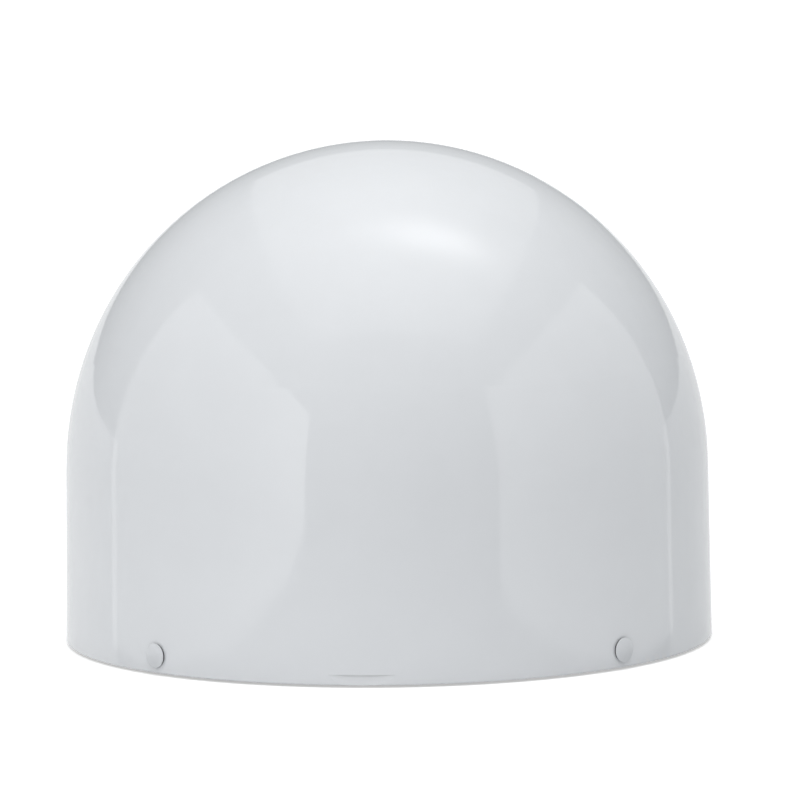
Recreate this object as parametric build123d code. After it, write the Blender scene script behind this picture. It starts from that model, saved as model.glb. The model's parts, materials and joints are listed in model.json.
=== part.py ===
"""Radome antenna: a domed weather cover over a motor-driven tracking dish, on a round deck base.

Millimetres. Origin on the deck plane under the middle of the base, +Z up, front towards -Y.
The dish and all it carries are drawn in a dish frame, x across, y up the dish and z along its beam,
with its origin on the elevation axis, and then turned to the elevation that the antenna rests at.
"""
from build123d import *
from math import atan2, cos, pi, radians, sin, sqrt, tan
import os

# ---- driving dimensions ----
SKIRT_RADIUS = 250.0        # outside of the cover at its rim
SKIRT_HEIGHT = 133.5        # straight part of the cover, above the rim
SKIRT_DRAFT = 0.75          # degrees, narrowing upwards
SHOULDER_RADIUS = 267.0     # side arc of the dome
SHOULDER_END = 20.0         # degrees above level where the crown arc takes over
COVER_WALL = 3.0
RIM_Z = 2.0                 # rim of the cover above the deck

PAD_HEIGHT = 6.0            # rubber pads under the base
FLOOR_TOP = 10.0            # inside floor of the base
DECK_BOLT_CIRCLE = 330.0
DECK_BOLT_HOLE = 5.25       # radius, for M10

COVER_SCREW_Z = 15.5        # height of the four cover screws
COVER_SCREW_ANGLES = (45.0, 135.0, 225.0, 315.0)
CAP_RADIUS = 9.3            # snap caps over those screws

PLATE_BOTTOM = 46.0         # turntable plate
PLATE_TOP = 50.0
AXIS_Z = 180.0              # height of the elevation axis
REST_ELEVATION = 35.0       # degrees above the horizon

DISH_RADIUS = 170.0
DISH_FOCUS = 115.0          # focal length of the paraboloid
DISH_VERTEX = 25.0          # vertex ahead of the elevation axis
DISH_SHEET = 1.6

EAR_INSIDE = 46.0           # inner face of the dish's ears, either side of the middle
EAR_OUTSIDE = 50.0
UPRIGHT_INSIDE = 62.0       # inner face of the uprights
UPRIGHT_OUTSIDE = 67.0
BOSS_INSIDE = 60.0          # thicker boss round each elevation bearing
BOSS_OUTSIDE = 69.0
AXLE_RADIUS = 6.0

DRIVE_MODULE = 1.5          # azimuth and elevation gears
RING_TEETH = 80
SECTOR_TEETH = 64
PINION_TEETH = 16
SKEW_MODULE = 1.0           # polarisation gears
SKEW_TEETH = 54
SKEW_PINION_TEETH = 16
BACKLASH = 0.16             # taken off the thickness of every tooth

MOTOR_SIDE = 42.3
MOTOR_LENGTH = 38.0
MOTOR_HOLE_PITCH = 31.0
PILOT_RADIUS = 11.0

AZIMUTH_CENTRES = DRIVE_MODULE * (RING_TEETH + PINION_TEETH) / 2
ELEVATION_CENTRES = DRIVE_MODULE * (SECTOR_TEETH + PINION_TEETH) / 2
SKEW_CENTRES = SKEW_MODULE * (SKEW_TEETH + SKEW_PINION_TEETH) / 2

UP = (Align.CENTER, Align.CENTER, Align.MIN)
DOWN = (Align.CENTER, Align.CENTER, Align.MAX)
dish_frame = Plane(
    origin=(0, 0, AXIS_Z),
    x_dir=(1, 0, 0),
    z_dir=(0, -cos(radians(REST_ELEVATION)), sin(radians(REST_ELEVATION))),
).location


# ---- helpers ----
def save(node, *pieces):
    """Writes one node as a STEP of one or more separate solids."""
    solids = [s for piece in pieces for s in piece.solids()]
    export_step(Compound(children=solids) if len(solids) > 1 else solids[0], f"parts/{node}.step")


def tube(outer, inner, low, high):
    """An upright ring between two heights."""
    ring = Cylinder(outer, high - low, align=UP) - Cylinder(inner, high - low, align=UP)
    return Pos(0, 0, low) * ring


def rod(radius, low, high):
    return Pos(0, 0, low) * Cylinder(radius, high - low, align=UP)


def block(x0, x1, y0, y1, z0, z1):
    return Pos((x0 + x1) / 2, (y0 + y1) / 2, (z0 + z1) / 2) * Box(x1 - x0, y1 - y0, z1 - z0)


def along_x(shape, x, y=0.0, z=0.0, sign=1):
    """Lays an upright shape on its side, its base at x and its top towards sign times X."""
    return Pos(x, y, z) * Rot(0, 90 * sign, 0) * shape


def across_beam(x, sign=1):
    """A dish-frame plane square to x: its own x runs along the beam and its y up the dish."""
    return Plane(origin=(x, 0, 0), x_dir=(0, 0, 1), z_dir=(-sign, 0, 0))


def turned(outline):
    """Revolves points (radius, height) about the upright axis."""
    return revolve(Plane.XZ * make_face(Polyline(*outline, close=True)), Axis.Z)


def around(radius, angles):
    """Places on a circle, each turned to face outwards along its own x."""
    return [Rot(0, 0, a) * Pos(radius, 0, 0) for a in angles]


def cap_screw(shank, length, head=None, head_height=None):
    """Socket head screw, the underside of its head at z = 0 and its shank below."""
    head = head or shank * 1.7
    head_height = head_height or shank * 1.6
    body = Cylinder(head, head_height, align=UP)
    body -= Pos(0, 0, head_height * 0.45) * extrude(RegularPolygon(head * 0.55, 6), head_height)
    return body + Cylinder(shank, length, align=DOWN)


def lead(radius, *points):
    """A round lead on straight runs joined by the largest tangent arcs that the runs allow."""
    radii = []
    for before, here, after in zip(points, points[1:], points[2:]):
        run_in = Vector(*here) - Vector(*before)
        run_out = Vector(*after) - Vector(*here)
        turn = radians(run_in.get_angle(run_out))
        radii.append(0.45 * min(run_in.length, run_out.length) / tan(turn / 2))
    path = FilletPolyline(*points, radius=radii)
    start = Plane(origin=path @ 0, z_dir=path % 0)
    print("lead radii", [round(r, 1) for r in radii], "length", round(path.length, 1))
    return sweep(start * Circle(radius), path)


def gear_face(module, teeth, first_tooth=0.0):
    """Outline of an involute gear with 20 degree flanks, one tooth centred on first_tooth degrees."""
    pitch = module * teeth / 2
    base = pitch * cos(radians(20))
    tip = pitch + module
    root = pitch - 1.25 * module

    def involute(radius):
        roll = sqrt((radius / base) ** 2 - 1)
        return roll - atan2(roll, 1)

    half_tooth = (pi * module / 2 - BACKLASH) / 2 / pitch + involute(pitch)
    start = max(base, root) * 1.0005
    flank_radii = [start + (tip - start) * step / 4 for step in range(5)]
    flank = [(r, half_tooth - involute(r)) for r in flank_radii]
    if root < base:
        flank.insert(0, (root, flank[0][1]))
    outline = []
    for tooth in range(teeth):
        middle = radians(first_tooth) + 2 * pi * tooth / teeth
        tooth_points = [(r, middle - a) for r, a in flank] + [(r, middle + a) for r, a in reversed(flank)]
        outline += [(r * cos(a), r * sin(a)) for r, a in tooth_points]
    return make_face(Polyline(*outline, close=True))


# ---- weather cover ----
def cover_outline(inset):
    """Skirt line, shoulder arc and crown arc of the dome, moved in by inset, from rim to top."""
    draft = radians(SKIRT_DRAFT)
    end = radians(SHOULDER_END)
    tangent_r = SKIRT_RADIUS - SKIRT_HEIGHT * tan(draft)
    tangent_z = RIM_Z + SKIRT_HEIGHT
    centre_r = tangent_r - SHOULDER_RADIUS * cos(draft)
    centre_z = tangent_z - SHOULDER_RADIUS * sin(draft)
    reach = -centre_r / cos(end)
    crown_z = centre_z + reach * sin(end)

    def on_shoulder(angle):
        r = SHOULDER_RADIUS - inset
        return centre_r + r * cos(angle), centre_z + r * sin(angle)

    def on_crown(angle):
        r = SHOULDER_RADIUS - reach - inset
        return r * cos(angle), crown_z + r * sin(angle)

    rim = (SKIRT_RADIUS - inset / cos(draft), RIM_Z)
    skirt = Line(rim, on_shoulder(draft))
    shoulder = ThreePointArc(on_shoulder(draft), on_shoulder((draft + end) / 2), on_shoulder(end))
    crown = ThreePointArc(on_shoulder(end), on_crown((end + pi / 2) / 2), on_crown(pi / 2))
    return skirt, shoulder, crown


def cover_solid(inset):
    skirt, shoulder, crown = cover_outline(inset)
    top = crown @ 1
    foot = skirt @ 0
    closing = Polyline((top.X, top.Y), (0, RIM_Z), (foot.X, foot.Y))
    return revolve(Plane.XZ * make_face([skirt, shoulder, crown, closing]), Axis.Z)


def radial(shape, angle, radius, z=COVER_SCREW_Z):
    """Turns an upright shape to point outwards, its base at the given radius and height."""
    return Rot(0, 0, angle) * Pos(radius, 0, z) * Rot(0, 90, 0) * shape


def make_cover():
    outer = cover_solid(0)
    shell = outer - cover_solid(COVER_WALL)
    rim_edge = [e for e in shell.edges() if abs(e.center().Z - RIM_Z) < 0.01 and e.radius > SKIRT_RADIUS - 1]
    shell = fillet(rim_edge, 0.8)
    for angle in COVER_SCREW_ANGLES:
        shell -= radial(Cylinder(3.2, 20), angle, SKIRT_RADIUS)
    # a shallow finger scoop across the rim at the front, to lift the cover by
    top_depth, foot_depth, scoop_height, scoop_angle = 1.5, 0.3, 7.8, -94.9
    section = Polygon(
        (SKIRT_RADIUS + 3, RIM_Z - 1), (SKIRT_RADIUS - foot_depth, RIM_Z - 1),
        (SKIRT_RADIUS - top_depth, RIM_Z + scoop_height), (SKIRT_RADIUS + 3, RIM_Z + scoop_height),
        align=None,
    )
    shell -= Rot(0, 0, scoop_angle) * extrude(Plane.XZ * section, 45, both=True)
    save("radome", shell)

    screws, washers, caps, nuts = [], [], [], []
    seat = SKIRT_RADIUS - 0.5
    washer_height, recess, lip, dome = 1.5, 0.7, 0.7, 1.5
    ball = (CAP_RADIUS ** 2 + dome ** 2) / (2 * dome)
    nut_outside = SPIGOT_INSIDE - 0.4
    for angle in COVER_SCREW_ANGLES:
        washer = Cylinder(8.7, washer_height, align=UP) - Pos(0, 0, recess) * Cylinder(4.4, 5, align=UP)
        washers.append(radial(washer - Cylinder(2.55, 9), angle, seat) - outer)
        screw = cap_screw(2.5, seat + recess - nut_outside + 6.5, head=4.0, head_height=1.6)
        screws.append(radial(screw, angle, seat + recess))
        cap = Pos(0, 0, lip + dome - ball) * Sphere(ball) & Cylinder(CAP_RADIUS, 5, align=UP)
        cap -= Cylinder(4.7, 1.4, align=UP)
        caps.append(radial(cap, angle, seat + washer_height))
        nut = extrude(Rectangle(8.4, 15), 3.2) + Pos(0, 0, -2.5) * Cylinder(4.2, 2.5, align=UP)
        nut -= Cylinder(2.5, 20)
        nuts.append(radial(nut, angle, nut_outside - 3.2))
    save("cover_screws", *screws)
    save("cover_cup_washers", *washers)
    save("cover_screw_caps", *caps)
    save("cover_clip_nuts", *nuts)


# ---- base ----
SPIGOT_OUTSIDE = 245.8      # upstanding wall that the cover slips over
SPIGOT_INSIDE = 240.8
SPIGOT_TOP = 38.0
POCKET = (-34.0, 34.0, 146.0, 190.0)    # cable opening in the floor: x from, x to, y from, y to
BREATHER_PLACES = ((-190.0, 0.0), (190.0, 0.0))
GEAR_SCREW_PLACES = around(40, range(30, 390, 60))
GEAR_LOW, GEAR_HIGH = 16.0, 24.0
LEAD_RADIUS = 2.1
LEAD_X = 8.0
LEAD_Z = 13.0


def make_base():
    groove_radius, groove_low, groove_high = 243.6, 7.5, 10.5
    pan = turned([
        (0, PAD_HEIGHT), (246.2, PAD_HEIGHT), (246.2, groove_low), (groove_radius, groove_low),
        (groove_radius, groove_high), (SPIGOT_OUTSIDE, groove_high), (SPIGOT_OUTSIDE, SPIGOT_TOP),
        (SPIGOT_INSIDE, SPIGOT_TOP), (SPIGOT_INSIDE, FLOOR_TOP), (0, FLOOR_TOP),
    ])
    for angle in (22.5 + 45 * step for step in range(8)):
        pan += Rot(0, 0, angle) * block(96, SPIGOT_INSIDE + 1, -2, 2, FLOOR_TOP - 1, 18)
    deck_holes = around(DECK_BOLT_CIRCLE / 2, COVER_SCREW_ANGLES)
    for place in deck_holes:
        pan += place * rod(16, FLOOR_TOP - 1, 16)
    pan -= [place * rod(DECK_BOLT_HOLE, 0, 20) for place in deck_holes]
    for angle in COVER_SCREW_ANGLES:
        # open-topped notches, so the loosened cover lifts off with its screws in it
        slot = Cylinder(3.6, 16) + Pos(-25, 0, 0) * Box(50, 7.2, 16)
        pan -= radial(slot, angle, (SPIGOT_OUTSIDE + SPIGOT_INSIDE) / 2)
    pan -= block(*POCKET, 0, 20)
    pan -= [Pos(x, y, 0) * Cylinder(5, 40) for x, y in BREATHER_PLACES]
    pan -= [place * rod(2.5, 7, 20) for place in GEAR_SCREW_PLACES]
    pan -= [place * rod(1.5, 6.6, 14) for place in BOX_SCREW_PLACES + CLIP_SCREW_PLACES]
    save("base_pan", pan)

    pad = Cylinder(22, PAD_HEIGHT, align=UP) - Cylinder(DECK_BOLT_HOLE, PAD_HEIGHT, align=UP)
    pad = chamfer(pad.edges().filter_by(GeomType.CIRCLE).sort_by(SortBy.RADIUS)[-2:-1], 1.0)
    save("mounting_pads", *[place * pad for place in deck_holes])
    save("cover_seal", tube(246.3, groove_radius, groove_low, groove_high))

    breather = Cylinder(5, 6, align=UP) + Pos(0, 0, 6) * Cylinder(8.5, 3, align=UP)
    breather -= Cylinder(1.2, 12, align=UP)
    save("breather_plugs", *[Pos(x, y, FLOOR_TOP - 6) * breather for x, y in BREATHER_PLACES])


# ---- cable entry on the base ----
BOX_SCREW_PLACES = [Pos(x, y, 0) for x in (-42, 42) for y in (146, 190)]
CLIP_SCREW_PLACES = [Pos(18, y, 0) for y in (93, 113)]
JACK_PLACES = [Pos(-20, 168, 0), Pos(2, 168, 0)]
SOCKET_PLACE = Pos(23, 168, 0)
BOX_TOP = 36.0
BOX_WALL = 2.5


def make_cable_entry():
    housing = block(-38, 38, 142, 194, FLOOR_TOP, BOX_TOP)
    housing = fillet(housing.edges().filter_by(Axis.Z), 4)
    housing += block(-47, 47, 140, 196, FLOOR_TOP, FLOOR_TOP + 3)
    housing -= block(-38 + BOX_WALL, 38 - BOX_WALL, 142 + BOX_WALL, 194 - BOX_WALL, 0, BOX_TOP - BOX_WALL)
    housing -= [place * Cylinder(1.6, 60) for place in BOX_SCREW_PLACES]
    housing -= [place * Cylinder(4.75, 100) for place in JACK_PLACES]
    housing -= SOCKET_PLACE * Cylinder(7.5, 100)
    lead_hole = Rot(90, 0, 0) * Cylinder(LEAD_RADIUS, 12)
    housing -= [Pos(x, 142, LEAD_Z + 7) * lead_hole for x in (-LEAD_X, LEAD_X)]
    save("connector_housing", housing)

    ceiling = BOX_TOP - BOX_WALL
    jack = rod(4.75, 21, BOX_TOP + 2) - rod(3.4, 20, 31)
    jack += rod(0.6, 23, 32)
    jack += Pos(0, 0, BOX_TOP) * extrude(RegularPolygon(6.6, 6), 2.5)
    jack += Pos(0, 0, ceiling - 2) * extrude(RegularPolygon(6.6, 6), 2)
    save("coax_jacks", *[place * jack for place in JACK_PLACES])
    socket = rod(7.5, 21, BOX_TOP + 1) - rod(6.2, 20, 30)
    socket += [Rot(0, 0, a) * Pos(3, 0, 0) * rod(0.6, 24, 31) for a in (0, 90, 180, 270)]
    socket += rod(9.2, ceiling - 2.5, ceiling) + rod(9.2, BOX_TOP, BOX_TOP + 2.5)
    save("power_socket", SOCKET_PLACE * socket)

    leads = []
    for side in (-1, 1):
        x = side * LEAD_X
        leads.append(lead(
            LEAD_RADIUS,
            (x, 144.5, LEAD_Z + 7), (x, 134, LEAD_Z + 7), (x, 123, LEAD_Z),
            (x + side * 1.2, 104, LEAD_Z - 0.4),
            (x - side * 0.6, 84, LEAD_Z), (x, 66, LEAD_Z), (x, 45, LEAD_Z),
        ))
    save("base_leads", *leads)
    clips = []
    for place in CLIP_SCREW_PLACES:
        y = place.position.Y
        clip = block(-13, 22, y - 4, y + 4, FLOOR_TOP, FLOOR_TOP + 7)
        clip -= block(13, 23, y - 5, y + 5, FLOOR_TOP + 2.5, FLOOR_TOP + 8)
        clip -= block(-11, 11.5, y - 5, y + 5, FLOOR_TOP - 1, FLOOR_TOP + 5.7)
        clips.append(clip - place * Cylinder(1.5, 60))
    save("lead_clips", *clips)

    small, large = cap_screw(1.5, 5.8), cap_screw(2.5, 16.5)
    screws = [place * Pos(0, 0, FLOOR_TOP + 3) * small for place in BOX_SCREW_PLACES]
    screws += [place * Pos(0, 0, FLOOR_TOP + 2.5) * small for place in CLIP_SCREW_PLACES]
    screws += [place * Pos(0, 0, GEAR_HIGH) * large for place in GEAR_SCREW_PLACES]
    save("base_screws", *screws)


# ---- fixed centre post, its gear and the azimuth bearings ----
POST_RADIUS = 17.5
RACE_OUTSIDE = 23.5
BEARING_FLOORS = (28.0, 61.0)
BEARING_WIDTH = 7.0


def make_post():
    post = rod(54, FLOOR_TOP, GEAR_LOW) + rod(20, GEAR_LOW, 28) + rod(POST_RADIUS, 28, 75)
    post -= rod(11, 0, 100)
    post -= [place * Cylinder(2.5, 60) for place in GEAR_SCREW_PLACES]
    post -= [Pos(x, 50, LEAD_Z) * Rot(90, 0, 0) * Cylinder(LEAD_RADIUS, 20) for x in (-LEAD_X, LEAD_X)]
    save("azimuth_post", post)

    gear = extrude(gear_face(DRIVE_MODULE, RING_TEETH, 90.0), GEAR_HIGH - GEAR_LOW)
    gear = Pos(0, 0, GEAR_LOW) * gear - Cylinder(20, 100)
    gear -= [place * Cylinder(2.5, 100) for place in GEAR_SCREW_PLACES]
    gear -= [place * Cylinder(6.5, 100) for place in around(42, range(0, 360, 60))]
    save("azimuth_ring_gear", gear)

    inner, outer, balls = [], [], []
    groove = Pos(20.5, 0) * Circle(1.8)
    for low in BEARING_FLOORS:
        middle = low + BEARING_WIDTH / 2
        cut = Pos(0, 0, middle) * revolve(Plane.XZ * groove, Axis.Z)
        inner.append(tube(19.4, POST_RADIUS, low, low + BEARING_WIDTH) - cut)
        outer.append(tube(RACE_OUTSIDE, 21.6, low, low + BEARING_WIDTH) - cut)
        balls += [place * Pos(0, 0, middle) * Sphere(1.7) for place in around(20.5, range(0, 360, 24))]
    spacer = tube(19.0, POST_RADIUS, BEARING_FLOORS[0] + BEARING_WIDTH, BEARING_FLOORS[1])
    save("azimuth_bearing_inner_races", *inner, spacer)
    save("azimuth_bearing_outer_races", *outer)
    save("azimuth_bearing_balls", *balls)
    nut = tube(23, POST_RADIUS, 68.0, 73.0)
    nut -= [place * Pos(0, 0, 71) * Box(5, 4.5, 8) for place in around(23, range(0, 360, 90))]
    nut = nut - tube(30, 19.6, 67.9, 68.6)
    save("bearing_lock_nut", nut)

    stator = rod(10.8, 48, 75) + rod(16, 75, 79) - rod(4, 40, 70)
    save("slip_ring_stator", stator)


# ---- turntable ----
FOOT_OUTSIDE = 85.0
FOOT_SCREW_PLACES = [(x, y) for x in (-78, 78) for y in (-32, 0, 32)]
CONTROL_BOX = (-60.0, 60.0, 104.0, 164.0)
CONTROL_BOX_TOP = 88.0
BOX_FIXING_PLACES = [Pos(x, y, 0) for x in (-50, 50) for y in (112, 156)]
ARM_SCREW_PLACES = ((-6.0, 86.0), (6.0, 86.0))
PINION_PLACE = Pos(0, AZIMUTH_CENTRES, 0)
MOTOR_SCREW_OFFSETS = [
    (a * MOTOR_HOLE_PITCH / 2, b * MOTOR_HOLE_PITCH / 2) for a in (-1, 1) for b in (-1, 1)
]


def make_turntable():
    plate = Circle(98) + Pos(0, 114) * RectangleRounded(140, 108, 10)
    plate -= Pos(0, -110) * Rectangle(240, 100)
    table = Pos(0, 0, PLATE_BOTTOM) * extrude(plate, PLATE_TOP - PLATE_BOTTOM)
    table += rod(30, BEARING_FLOORS[0], 68)
    table += [Rot(0, 0, a) * block(28, 92, -2, 2, 38, PLATE_BOTTOM + 1) for a in (20, 160, 200, 340)]
    table -= Cylinder(21.8, 300)
    table -= [rod(RACE_OUTSIDE, low - 0.01, low + BEARING_WIDTH + 0.01) for low in BEARING_FLOORS]
    table -= PINION_PLACE * Cylinder(PILOT_RADIUS + 0.2, 200)
    table -= [PINION_PLACE * Pos(x, y) * Cylinder(1.6, 200) for x, y in MOTOR_SCREW_OFFSETS]
    table -= [Pos(x, y, 0) * Cylinder(2.0, 200) for x, y in FOOT_SCREW_PLACES]
    table -= [place * Cylinder(2.0, 200) for place in BOX_FIXING_PLACES]
    table -= [Pos(x, y, 0) * Cylinder(9, 200) for x in (-48, 48) for y in (52, 80)]
    save("turntable", table)

    rotor = rod(15, 79.3, 92) - rod(4, 78, 88)
    rotor = fillet(rotor.edges().filter_by(GeomType.CIRCLE).sort_by(Axis.Z)[-1:], 1.5)
    rotor -= Rot(0, 0, 45) * Pos(14, 0, 86) * Rot(0, 90, 0) * Cylinder(LEAD_RADIUS, 12)
    save("slip_ring_rotor", rotor)
    arm = block(12, 57, -9, 9, 83, 85) + block(55, UPRIGHT_INSIDE, -11, 11, 81, 91)
    arm = arm - rod(15, 70, 100)
    arm -= [along_x(Cylinder(1.5, 30), 60, y, z) for y, z in ARM_SCREW_PLACES]
    save("slip_ring_arm", arm)


def upright(side):
    """One side frame: a tapered web with a bearing boss on top and a foot that turns outwards."""
    web = Polygon((-45, PLATE_TOP), (45, PLATE_TOP), (17, AXIS_Z), (-17, AXIS_Z), align=None)
    web += Pos(0, AXIS_Z) * Circle(17)
    web -= Pos(0, 70) * SlotOverall(42, 16)
    body = Pos(UPRIGHT_INSIDE, 0, 0) * extrude(Plane.YZ * web, UPRIGHT_OUTSIDE - UPRIGHT_INSIDE)
    body += Pos(BOSS_INSIDE, 0, AXIS_Z) * Rot(0, 90, 0) * Cylinder(17, BOSS_OUTSIDE - BOSS_INSIDE, align=UP)
    body += block(UPRIGHT_INSIDE, FOOT_OUTSIDE, -45, 45, PLATE_TOP, PLATE_TOP + 4)
    for y in (-38, 38):
        gusset = Polygon(
            (UPRIGHT_OUTSIDE, PLATE_TOP + 4), (FOOT_OUTSIDE - 2, PLATE_TOP + 4), (UPRIGHT_OUTSIDE, 78),
            align=None,
        )
        body += Pos(0, y + 1.5, 0) * extrude(Plane.XZ * gusset, 3)
    body -= Pos(BOSS_INSIDE - 1, 0, AXIS_Z) * Rot(0, 90, 0) * Cylinder(11, 20, align=UP)
    body -= [Pos(abs(x), y, 0) * Cylinder(2.0, 200) for x, y in FOOT_SCREW_PLACES]
    return body if side > 0 else mirror(body, Plane.YZ)


def motor(length):
    """Square stepping motor standing on its mounting face at z = 0, its pilot below."""
    half = MOTOR_SIDE / 2
    outline = chamfer(Rectangle(MOTOR_SIDE, MOTOR_SIDE).vertices(), 4.5)
    slim = chamfer(Rectangle(MOTOR_SIDE - 1.2, MOTOR_SIDE - 1.2).vertices(), 6.0)
    body = extrude(outline, 8) + Pos(0, 0, 8) * extrude(slim, length - 17)
    body += Pos(0, 0, length - 9) * extrude(outline, 9)
    body += Cylinder(PILOT_RADIUS, 2, align=DOWN)
    body += block(-7, 7, half - 1, half + 5, length - 9, length - 2)
    body -= Pos(0, 0, -3) * Cylinder(2.62, 12, align=UP)
    body -= [Pos(x, y, 0) * Cylinder(1.5, 9, align=UP) for x, y in MOTOR_SCREW_OFFSETS]
    return body


def make_uprights():
    left, right = upright(-1), upright(1)
    pinion_z = AXIS_Z - ELEVATION_CENTRES
    left -= along_x(Cylinder(PILOT_RADIUS + 0.2, 40), -65, 0, pinion_z)
    left -= [along_x(Cylinder(1.6, 40), -65, y, pinion_z + z) for y, z in MOTOR_SCREW_OFFSETS]
    right -= Pos(64, 0, 122) * Rot(0, 90, 0) * extrude(SlotOverall(44, 22), 10, both=True)
    right -= [along_x(Cylinder(1.5, 30), 64, y, z) for y, z in ARM_SCREW_PLACES]
    save("left_upright", left)
    save("right_upright", right)

    bearings, caps = [], []
    for side in (-1, 1):
        ring = tube(11, AXLE_RADIUS + 0.05, 0, BOSS_OUTSIDE - BOSS_INSIDE - 1)
        bearings.append(along_x(ring, side * (BOSS_INSIDE + 0.5), 0, AXIS_Z, side))
        cap = Cylinder(17, 5.5, align=UP) - Cylinder(12, 4, align=UP)
        cap = fillet(cap.edges().filter_by(GeomType.CIRCLE).sort_by(Axis.Z)[-1:], 1.5)
        if side > 0:
            cap -= Cylinder(LEAD_RADIUS, 20)
        caps.append(along_x(cap, side * BOSS_OUTSIDE, 0, AXIS_Z, side))
    save("elevation_bearings", *bearings)
    save("elevation_bearing_caps", *caps)


def make_motors():
    save("azimuth_motor", PINION_PLACE * Pos(0, 0, PLATE_TOP) * motor(MOTOR_LENGTH))
    up_screw = Rot(180, 0, 0) * cap_screw(1.5, 10)
    screws = [PINION_PLACE * Pos(x, y, PLATE_BOTTOM) * up_screw for x, y in MOTOR_SCREW_OFFSETS]
    shaft = rod(2.5, GEAR_LOW + 1, PLATE_TOP + 8)
    teeth = gear_face(DRIVE_MODULE, PINION_TEETH, -90 + 180 / PINION_TEETH)
    pinion = Pos(0, 0, GEAR_LOW + 0.5) * extrude(teeth, GEAR_HIGH - GEAR_LOW - 1)
    pinion += rod(8, GEAR_HIGH - 0.5, 33)
    save("azimuth_pinion", PINION_PLACE * (pinion - Cylinder(2.5, 200)), PINION_PLACE * shaft)

    pinion_z = AXIS_Z - ELEVATION_CENTRES
    save("elevation_motor", along_x(motor(MOTOR_LENGTH - 4), -UPRIGHT_OUTSIDE, 0, pinion_z, -1))
    out_screw = Rot(180, 0, 0) * cap_screw(1.5, 11, head_height=2.0)
    screws += [along_x(out_screw, -UPRIGHT_INSIDE, y, pinion_z + z, -1) for y, z in MOTOR_SCREW_OFFSETS]
    save("motor_screws", *screws)
    shaft = along_x(Cylinder(2.5, 26, align=UP), -EAR_OUTSIDE + 0.5, 0, pinion_z, -1)
    teeth = gear_face(DRIVE_MODULE, PINION_TEETH, 90 + 180 / PINION_TEETH)
    face = Plane(origin=(-EAR_OUTSIDE - 0.5, 0, pinion_z), x_dir=(0, -1, 0), z_dir=(-1, 0, 0))
    hub = along_x(Cylinder(7, 3, align=UP), -EAR_OUTSIDE - 5.5, 0, pinion_z, -1)
    pinion = extrude(face * teeth, 5.0) + hub
    save("elevation_pinion", pinion - along_x(Cylinder(2.5, 60), -60, 0, pinion_z), shaft)


def make_control_box():
    x0, x1, y0, y1 = CONTROL_BOX
    box = block(x0, x1, y0, y1, PLATE_TOP, CONTROL_BOX_TOP)
    box = fillet(box.edges().filter_by(Axis.Z), 5)
    box -= block(x0 + 2.5, x1 - 2.5, y0 + 2.5, y1 - 2.5, PLATE_TOP + 2.5, CONTROL_BOX_TOP + 1)
    box += [place * rod(4.5, PLATE_TOP, CONTROL_BOX_TOP) for place in BOX_FIXING_PLACES]
    box -= [place * rod(2.0, 0, 62) for place in BOX_FIXING_PLACES]
    box -= [place * rod(1.5, 78, 100) for place in BOX_FIXING_PLACES]
    box -= [Pos(x, y0, 72) * Rot(90, 0, 0) * Cylinder(4, 12) for x in (32, 50)]
    save("control_box", box)
    lid = block(x0 - 1, x1 + 1, y0 - 1, y1 + 1, CONTROL_BOX_TOP, CONTROL_BOX_TOP + 3)
    lid = fillet(lid.edges().filter_by(Axis.Z), 6)
    rib_bottom, rib_top = CONTROL_BOX_TOP + 2, CONTROL_BOX_TOP + 7
    lid += [block(x, x + 3, y0 + 8, y1 - 8, rib_bottom, rib_top) for x in range(-36, 37, 12)]
    lid -= [place * Cylinder(1.5, 300) for place in BOX_FIXING_PLACES]
    save("control_box_lid", lid)
    lid_screw, fixing = cap_screw(1.5, 11), Rot(180, 0, 0) * cap_screw(2.0, 14)
    foot_screw, arm_screw = cap_screw(2.0, 8), cap_screw(1.5, 10)
    screws = [place * Pos(0, 0, CONTROL_BOX_TOP + 3) * lid_screw for place in BOX_FIXING_PLACES]
    screws += [place * Pos(0, 0, PLATE_BOTTOM) * fixing for place in BOX_FIXING_PLACES]
    screws += [Pos(x, y, PLATE_TOP + 4) * foot_screw for x, y in FOOT_SCREW_PLACES]
    screws += [along_x(arm_screw, UPRIGHT_OUTSIDE, y, z) for y, z in ARM_SCREW_PLACES]
    save("turntable_screws", *screws)
    board = block(x0 + 11, x1 - 11, y0 + 14, y1 - 14, 58, 59.6)
    board += [block(x, x + 12, 124, 136, 59.6, 62) for x in (-38, -8, 22)]
    board += [Pos(x, 142, 59.6) * Cylinder(3, 9, align=UP) for x in (-30, -18, 20, 32)]
    board += [Pos(x, y, 0) * rod(2.5, PLATE_TOP + 2.5, 58) for x in (-40, 40) for y in (124, 144)]
    save("control_board", board)
    glands = []
    for x in (32, 50):
        gland = Cylinder(4, 8, align=UP) + Pos(0, 0, 2.5) * extrude(RegularPolygon(6.2, 6), 6)
        gland = gland - Cylinder(LEAD_RADIUS, 40)
        glands.append(Pos(x, y0 + 2.5, 72) * Rot(90, 0, 0) * gland)
    save("control_box_glands", *glands)

    slip_ring_lead = lead(
        LEAD_RADIUS,
        (8.5, 8.5, 86), (19, 19, 86), (28, 33, 84.5), (33, 48, 80.5), (34, 66, 75), (32, 88, 72),
        (32, 106, 72),
    )
    elevation_lead = lead(
        LEAD_RADIUS,
        (50, 106, 72), (50, 88, 72), (57, 70, 77), (67, 54, 91), (77, 38, 112), (84, 25, 134),
        (92, 13, 155), (98, 3, 171), (92, 0, 180), (72.5, 0, 180),
    )
    save("turntable_leads", slip_ring_lead, elevation_lead)


# ---- dish and what turns with it in elevation ----
HUB_BACK = 18.0
HUB_FRONT = 21.0
HUB_RADIUS = 58.0
FEED_TUBE = 11.0
FEED_BUSH = 16.0
REFLECTOR_SCREWS = around(53, range(0, 360, 60))
STRUT_FOOT = 104.0
SUB_RADIUS = 30.0
SUB_VERTEX = 118.0


def bowl(radius):
    """Height of the reflector's front surface along the beam."""
    return DISH_VERTEX + radius ** 2 / (4 * DISH_FOCUS)


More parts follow.
